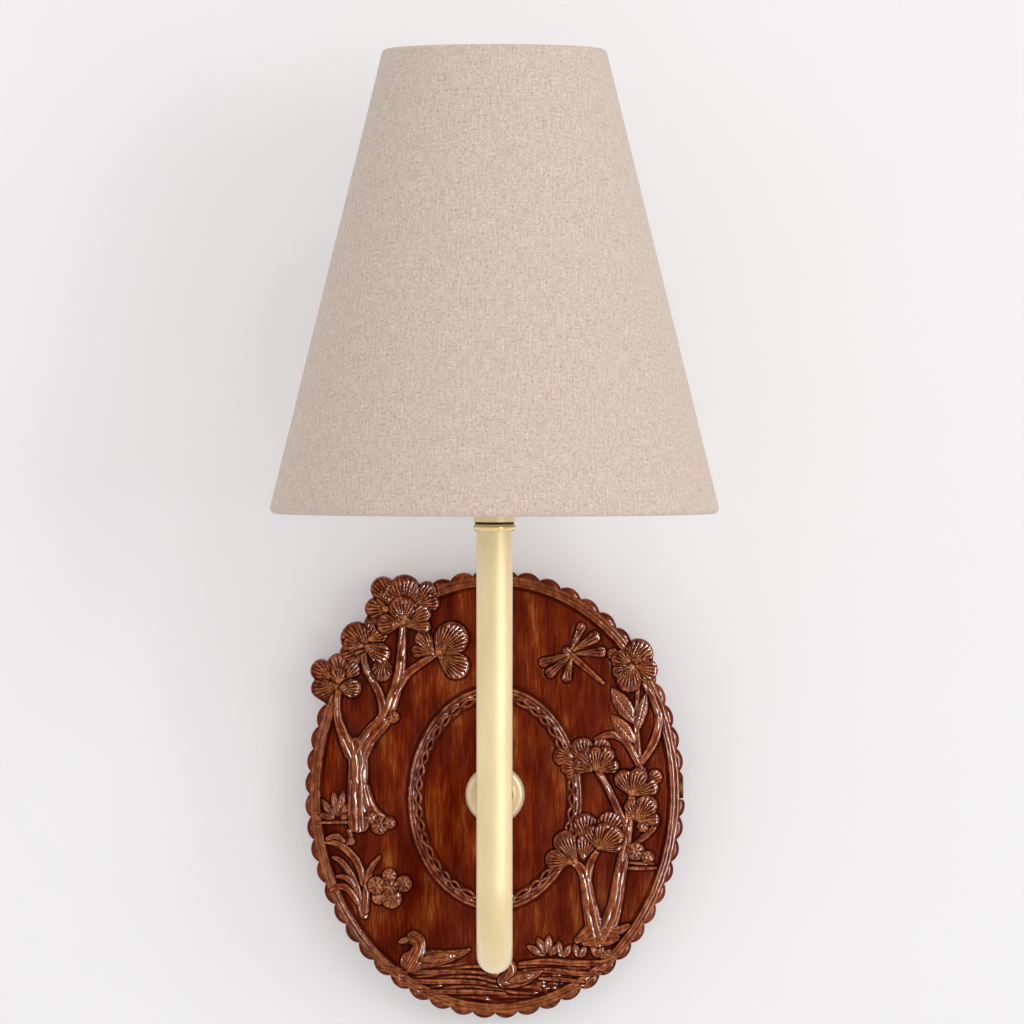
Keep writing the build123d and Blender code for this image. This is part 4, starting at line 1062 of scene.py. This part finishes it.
def edge_rows(x, z, depth):
    """Rings down the board's edge, from its rim to the wall."""
    rows = [on_wall(x, z, depth * share) for share in (0.97, 0.9, 0.7, 0.45, 0.2, 0.05)]
    for inset in (0.3, 1.0):
        rows.append(level(x - out_x * inset, z - out_z * inset, 0))
    return rows


def hollow_rows():
    """Rings of the recess in the board's back, and on through the rod's hole to the face's first ring."""
    hole = (ROD_HOLE * ray_cos, ROD_HOLE * ray_sin)
    wall = ((half_width - RECESS_INSET) * ray_cos, (half_height - RECESS_INSET) * ray_sin)
    rows = []
    for depth in (0, 0.3, 0.9, RECESS_DEPTH / 2, RECESS_DEPTH - 0.9, RECESS_DEPTH - 0.2):
        rows.append(level(*wall, depth))
    for share in (0.99, 0.8, 0.5, 0.2):
        rows.append(part_way(hole, wall, share, RECESS_DEPTH))
    for depth in (RECESS_DEPTH, RECESS_DEPTH + 0.3, ground_depth - 0.3, ground_depth):
        rows.append(level(*hole, depth))
    for share in (0.05, 0.25, 0.5, 0.75, 0.93):
        rows.append(part_way(hole, (inner_x, inner_z), share, ground_depth))
    return rows


def box_blur(values, rings, columns):
    """A moving average over the board's grid, which joins up round the oval."""
    total = np.zeros_like(values)
    padded = np.pad(values, ((rings, rings), (0, 0)), mode="edge")
    for shift in range(2 * rings + 1):
        total += padded[shift : shift + len(values)]
    values = total / (2 * rings + 1)
    total = np.zeros_like(values)
    for shift in range(-columns, columns + 1):
        total += np.roll(values, shift, axis=1)
    return total / (2 * columns + 1)


def steepness(x, z, height):
    """How steeply the relief rises across and along the board's grid."""
    outward = np.gradient(height, axis=0) / np.hypot(np.gradient(x, axis=0), np.gradient(z, axis=0))

    def around(values):
        return np.roll(values, -1, axis=1) - np.roll(values, 1, axis=1)

    sideways = around(height) / np.hypot(around(x), around(z))
    return np.hypot(outward, sideways)


def board_wear(x, z, height):
    """Shares of dark stain and painted shade, of worn crests and painted highlights, of raised wood and of
    varnish at the face's points.
    """
    close = box_blur(height, 1, 1) - height
    near = box_blur(height, 2, 2) - height
    wide = box_blur(height, 6, 5) - height
    broad = box_blur(height, 20, 15) - height
    pool = 1 + 0.7 * value_noise(x / 7, z / 7, 12)
    # darkness in the cuts and round raised motifs: partly dark stain, partly painted shade
    stain_and_shade = np.clip(near / 0.38 + wide / 1.3 + pool * np.maximum(broad, 0) / 2.0, 0, 1)
    # crests: worn wood and painted highlight
    worn_and_sheen = smooth_step(-close / 0.1 - near / 0.3, 0.25, 1.2) * smooth_step(height, 0.2, 1.0)
    raised = smooth_step(height, 0.15, 0.9)
    glossy = smooth_step(steepness(x, z, height), 0.1, 0.3) * smooth_step(height, 0.0, 0.3)
    return stain_and_shade, worn_and_sheen, raised, VARNISH * glossy * (1 - 0.8 * stain_and_shade)


def make_board():
    """The carved board, with what its wood material reads at each point of the face."""
    x, z, edge = board_front()
    carving = Carving(x, z, np.broadcast_to(scallop_phase, x.shape), edge)
    carve_scene(carving)
    height = np.clip(carving.height, LOWEST, HIGH + 0.15)
    rows = list(on_wall(x, z, ground_depth + height))
    rows += edge_rows(x[-1], z[-1], ground_depth + height[-1])
    rows += hollow_rows()
    board = grid_mesh("carved_board", rows, closed=True, sharp=60)
    stain_and_shade, worn_and_sheen, raised, varnish = board_wear(x, z, height)
    carve = np.zeros((len(rows), COLUMNS, 4), np.float32)
    carve[: len(height)] = np.stack([stain_and_shade, worn_and_sheen, raised, carving.heart], -1)
    layer = board.data.color_attributes.new("carve", "FLOAT_COLOR", "POINT")
    layer.data.foreach_set("color", carve.ravel())
    slope = np.zeros((len(rows), COLUMNS), np.float32)
    slope[: len(height)] = varnish
    layer = board.data.attributes.new("slope", "FLOAT", "POINT")
    layer.data.foreach_set("value", slope.ravel())
    dress(board, "root", "carved_wood", carved_wood, "backplate")
    return board


carved_board = make_board()


# Arm, rosette and the collars


def arm_line():
    """Points, and the directions along them, of the arm's centre line as depth and height."""
    radius = BEND_RADIUS
    start = wall_span("arm_tube")[1]
    top = lamp_span("arm_tube")[2]
    lowest = lamp_span("arm_tube")[1] + tube_radius
    first = lamp_depth - 2 * radius
    line = [(start, 0.0, 0.0), (first - radius, 0.0, 0.0)]
    turns = [
        (first - radius, -radius, math.pi / 2, 0.0),
        (first + radius, lowest + radius, math.pi, 1.5 * math.pi),
        (lamp_depth - radius, lowest + radius, 1.5 * math.pi, 2 * math.pi),
    ]
    for centre_depth, centre_height, begin, end in turns:
        for turn in np.linspace(begin, end, 25):
            depth = centre_depth + radius * math.cos(turn)
            height = centre_height + radius * math.sin(turn)
            heading = turn + math.copysign(math.pi / 2, end - begin)
            line.append((depth, height, heading))
    for height in (10.0, 50.0, 90.0, top):
        line.append((lamp_depth, height, math.pi / 2))
    return line


def make_arm():
    """The bent tube, with an outer and an inner skin."""
    line = arm_line()
    around = np.linspace(0, 2 * math.pi, 96, endpoint=False)

    def ring(depth, height, heading, size):
        side = size * np.cos(around)
        lift = size * np.sin(around)
        return on_wall(side, height + lift * math.cos(heading), depth - lift * math.sin(heading))

    outer = [ring(*point, tube_radius) for point in line]
    inner = [ring(*point, tube_radius - TUBE_WALL) for point in reversed(line)]
    tube = grid_mesh("arm_tube_skin", outer + inner, closed=True)
    dress(tube, "root", "satin_brass", satin_brass, "arm_tube")
    return tube


arm_tube = make_arm()


def make_rosette():
    """A disc with a sloped rim, and a plain ring round the tube's end."""
    bore = ROD_FIT
    radius, back, front = wall_span("rosette")
    disc = [(bore, back), (radius, back), (radius, front - 1.5), (radius - 1.6, front), (bore, front)]
    plate = turned("rosette_disc", rounded(disc, 0.7), on_wall, 128)
    dress(plate, "root", "satin_brass", rosette_brass, "rosette")
    radius, back, front = wall_span("rosette_collar")
    bore = tube_radius + 0.05
    ring = [(bore, back), (radius, back), (radius, front), (bore, front)]
    collar = turned("rosette_ring", rounded(ring, 0.8), on_wall, 128)
    dress(collar, "root", "satin_brass", rosette_brass, "rosette_collar")


make_rosette()


def make_collars():
    """A bead on the tube's top, and a thin washer on the bead."""
    bore = ROD_FIT
    radius, foot, top = lamp_span("tube_collar")
    neck = radius - 0.5
    bead = [(bore, foot), (neck, foot), (radius, (foot + top) / 2), (neck, top), (bore, top)]
    collar = turned("tube_bead", rounded(bead, 1.1), on_lamp, 128)
    dress(collar, "root", "polished_brass", polished_brass, "tube_collar")
    radius, foot, top = lamp_span("gap_washer")
    ring = [(bore, foot), (radius, foot), (radius, top), (bore, top)]
    washer = turned("gap_washer_disc", rounded(ring, 0.2), on_lamp)
    dress(washer, "root", "dark_fibre", finishes["dark_fibre"], "gap_washer")


make_collars()


# Shade


def shade_lines():
    """The shade's outer radius as a function of height, and the angle that its side leans in by."""
    radius, foot, _ = lamp_span("shade_fabric")
    low_wire = lamp_span("shade_bottom_wire")
    high_wire = lamp_span("shade_top_wire")
    slope = (low_wire[0] - high_wire[0]) / (high_wire[1] - low_wire[1])

    def radius_at(height):
        return radius - slope * (height - foot)

    return radius_at, math.atan(slope)


def shade_section():
    """The cloth's line, from hem to hem, as radius, height and the normal of its outer side."""
    radius_at, lean = shade_lines()
    out = (math.cos(lean), math.sin(lean))
    folds = []
    for wire, first, last in (("shade_bottom_wire", -math.pi, lean), ("shade_top_wire", lean, math.pi)):
        reach, foot, top = lamp_span(wire)
        middle = (foot + top) / 2
        centre = reach - (top - foot) / 2
        roll = (radius_at(middle) - centre) * math.cos(lean)
        fold = []
        for turn in np.linspace(first, last, FOLD_ROWS):
            side = (math.cos(turn), math.sin(turn))
            fold.append((centre + roll * side[0], middle + roll * side[1], *side))
        folds.append(fold)
    low, high = folds
    low_end = (low[0][0] - (HEM / 2) * math.tan(lean), low[0][1] + HEM / 2, -out[0], -out[1])
    high_end = (high[-1][0] + (HEM / 2) * math.tan(lean), high[-1][1] - HEM / 2, -out[0], -out[1])
    skin = []
    for height in np.linspace(low[-1][1], high[0][1], SKIN_ROWS)[1:-1]:
        skin.append((radius_at(height), height, *out))
    return [low_end] + low + skin + high + [high_end]


def make_shade():
    """The cloth as a closed sheet with a lapped seam at the back, laid out flat in the map that its weave
    reads.
    """
    radius_at, lean = shade_lines()
    foot = lamp_span("shade_fabric")[1]
    apex = radius_at(foot) / math.sin(lean)
    section = np.array(shade_section())
    run = np.hypot(np.diff(section[:, 0]), np.diff(section[:, 1]))
    slant = apex - (np.concatenate([[0], np.cumsum(run)]) - HEM)
    inner = np.concatenate([section[:, :2] - CLOTH * section[:, 2:], slant[:, None]], 1)[::-1]
    outer = np.concatenate([section[:, :2], slant[:, None]], 1)
    angle = np.linspace(0, 2 * math.pi, SHADE_COLUMNS + 1) + math.pi / 2
    turn = (angle - 1.5 * math.pi) * math.sin(lean)
    rows = []
    places = []
    for radius, height, distance in np.concatenate([outer, inner]):
        arc = radius * ((angle - math.pi / 2 + math.pi) % (2 * math.pi) - math.pi)
        lap = CLOTH * smooth_step(arc, -0.4, 0.2) * (1 - smooth_step(arc, SEAM_WIDTH, SEAM_WIDTH + 3))
        sway = SHADE_SWAY * value_noise(angle * 7, np.full(len(angle), height / 22), 9)
        reach = radius + lap + sway - SHADE_ROOM
        level_up = np.full(len(angle), height)
        rows.append(on_lamp(reach * np.cos(angle), reach * np.sin(angle), level_up)[:-1])
        places.append(np.stack([distance * np.sin(turn), distance * np.cos(turn)], 1) * MM)
    shade = grid_mesh("linen_shade", rows, np.array(places), closed=True, sharp=60)
    dress(shade, "shade", "beige_linen", beige_linen, "shade_fabric")


make_shade()


# Nodes of the frame that keep their shape, by finish
cad_finishes = {
    "zinc_steel": [
        "crossbar", "nipple", "nipple_washer", "nipple_nut", "terminal_block_screws",
        "terminal_mount_screws", "lampholder_nipple", "lampholder_locknut",
    ],
    "green_screw": ["ground_screw"],
    "solder": ["ground_lug", "bulb_tip_contact"],
    "bronzed_steel": ["side_lock_screw"],
    "white_plastic": ["terminal_block"],
    "plain_brass": [
        "terminal_barrels", "arm_base_bush", "tube_top_bush", "screw_shell", "centre_contact",
        "terminal_screws",
    ],
    "satin_brass": ["socket_cup"],
    "black_phenolic": ["lampholder_base", "lampholder_body", "shade_ring"],
    "white_ceramic": ["lampholder_insulator"],
    "white_enamel": ["fitter_ring", "spider_arms", "shade_bottom_wire", "shade_top_wire"],
    "white_liner": ["shade_liner"],
    "black_glass": ["bulb_insulator"],
    "cap_metal": ["bulb_cap"],
    "opal_glass": ["bulb_glass"],
    "brown_wire": ["live_wire"],
    "blue_wire": ["neutral_wire"],
    "green_wire": ["ground_wire"],
}
for finish_name, finished in cad_finishes.items():
    for node in finished:
        nodes[node].data.materials.clear()
        nodes[node].data.materials.append(finishes[finish_name])


# Stage, light and camera


def make_stage():
    """A pale wall that runs in a curve into the floor."""
    bend_y = WALL_GAP - COVE
    bend_z = COVE - FLOOR_DROP
    profile = [(-STAGE_REACH, -FLOOR_DROP), (bend_y, -FLOOR_DROP)]
    for turn in np.linspace(0, 0.5 * math.pi, 13):
        profile.append((bend_y + COVE * math.sin(turn), bend_z - COVE * math.cos(turn)))
    profile += [(WALL_GAP, 0.0), (WALL_GAP, STAGE_TOP)]
    points = []
    for y, z in profile:
        for x in (-STAGE_REACH, STAGE_REACH):
            points.append((x * MM, y * MM, z * MM))
    faces = []
    for index in range(len(profile) - 1):
        corner = 2 * index
        faces.append((corner, corner + 1, corner + 3, corner + 2))
    mesh = bpy.data.meshes.new("stage")
    mesh.from_pydata(points, [], faces)
    mesh.shade_smooth()
    stage = bpy.data.objects.new("stage", mesh)
    bpy.context.scene.collection.objects.link(stage)
    mesh.materials.append(stage_material())


def area_light(name, watts, width, height, place):
    """A soft lamp that faces the part; its size and place are in metres."""
    data = bpy.data.lights.new(name, "AREA")
    data.energy = watts
    data.shape = "RECTANGLE"
    data.size = width
    data.size_y = height
    light = bpy.data.objects.new(name, data)
    light.location = place
    light.rotation_euler = (Vector(LIGHT_TARGET) - Vector(place)).to_track_quat("-Z", "Y").to_euler()
    bpy.context.scene.collection.objects.link(light)
    return light


def shine_only(light, piece):
    """Keeps a light to the gloss of one piece."""
    light.visible_diffuse = False
    receivers = bpy.data.collections.new(light.name + "_receivers")
    receivers.objects.link(piece)
    light.light_linking.receiver_collection = receivers


def make_lights():
    """A soft key and a top lamp, and two lamps that only give brass and carving their glints."""
    area_light("key", watts=8.5, width=0.7, height=1.0, place=(1.25, -1.75, 0.4))
    side = area_light("side", watts=3.0, width=0.4, height=0.8, place=(2.0, -1.1, 0.3))
    shine_only(side, arm_tube)
    area_light("top_window", watts=2.5, width=0.25, height=0.25, place=(0.7, -1.7, 1.6))
    window = area_light("window", watts=300.0, width=0.25, height=1.8, place=(1.25, -1.75, 0.1))
    shine_only(window, carved_board)


def make_world():
    """Even soft light all round, a little brighter as the camera, metal and glass see it."""
    world = bpy.data.worlds.new("world")
    bpy.context.scene.world = world
    world.use_nodes = True
    tree = world.node_tree
    background = tree.nodes["Background"]
    path = add(tree, "LightPath", {}).outputs
    direct = maths("MAXIMUM", path["Is Camera Ray"], path["Is Transmission Ray"])
    seen = maths("MAXIMUM", direct, path["Is Glossy Ray"])
    background.inputs["Color"].default_value = (0.997, 1.0, 0.999, 1.0)
    put(background.inputs["Strength"], scaled(seen, 0.885, 0.92))


def make_camera():
    """The camera of the photograph: level sides, aimed a little down."""
    data = bpy.data.cameras.new("camera")
    data.sensor_width = SENSOR
    data.lens = SENSOR * CAMERA_DISTANCE / (PHOTO_PIXELS * PIXEL)
    camera = bpy.data.objects.new("camera", data)
    place = Vector((CAMERA_X, -lamp_depth - CAMERA_DISTANCE, CAMERA_Z))
    aim = Vector((CAMERA_X, -lamp_depth, AIM_Z))
    camera.location = place * MM
    camera.rotation_euler = (aim - place).to_track_quat("-Z", "Y").to_euler()
    bpy.context.scene.collection.objects.link(camera)
    bpy.context.scene.camera = camera


make_stage()
make_world()
make_lights()
make_camera()
bpy.context.scene.view_settings.view_transform = "Standard"
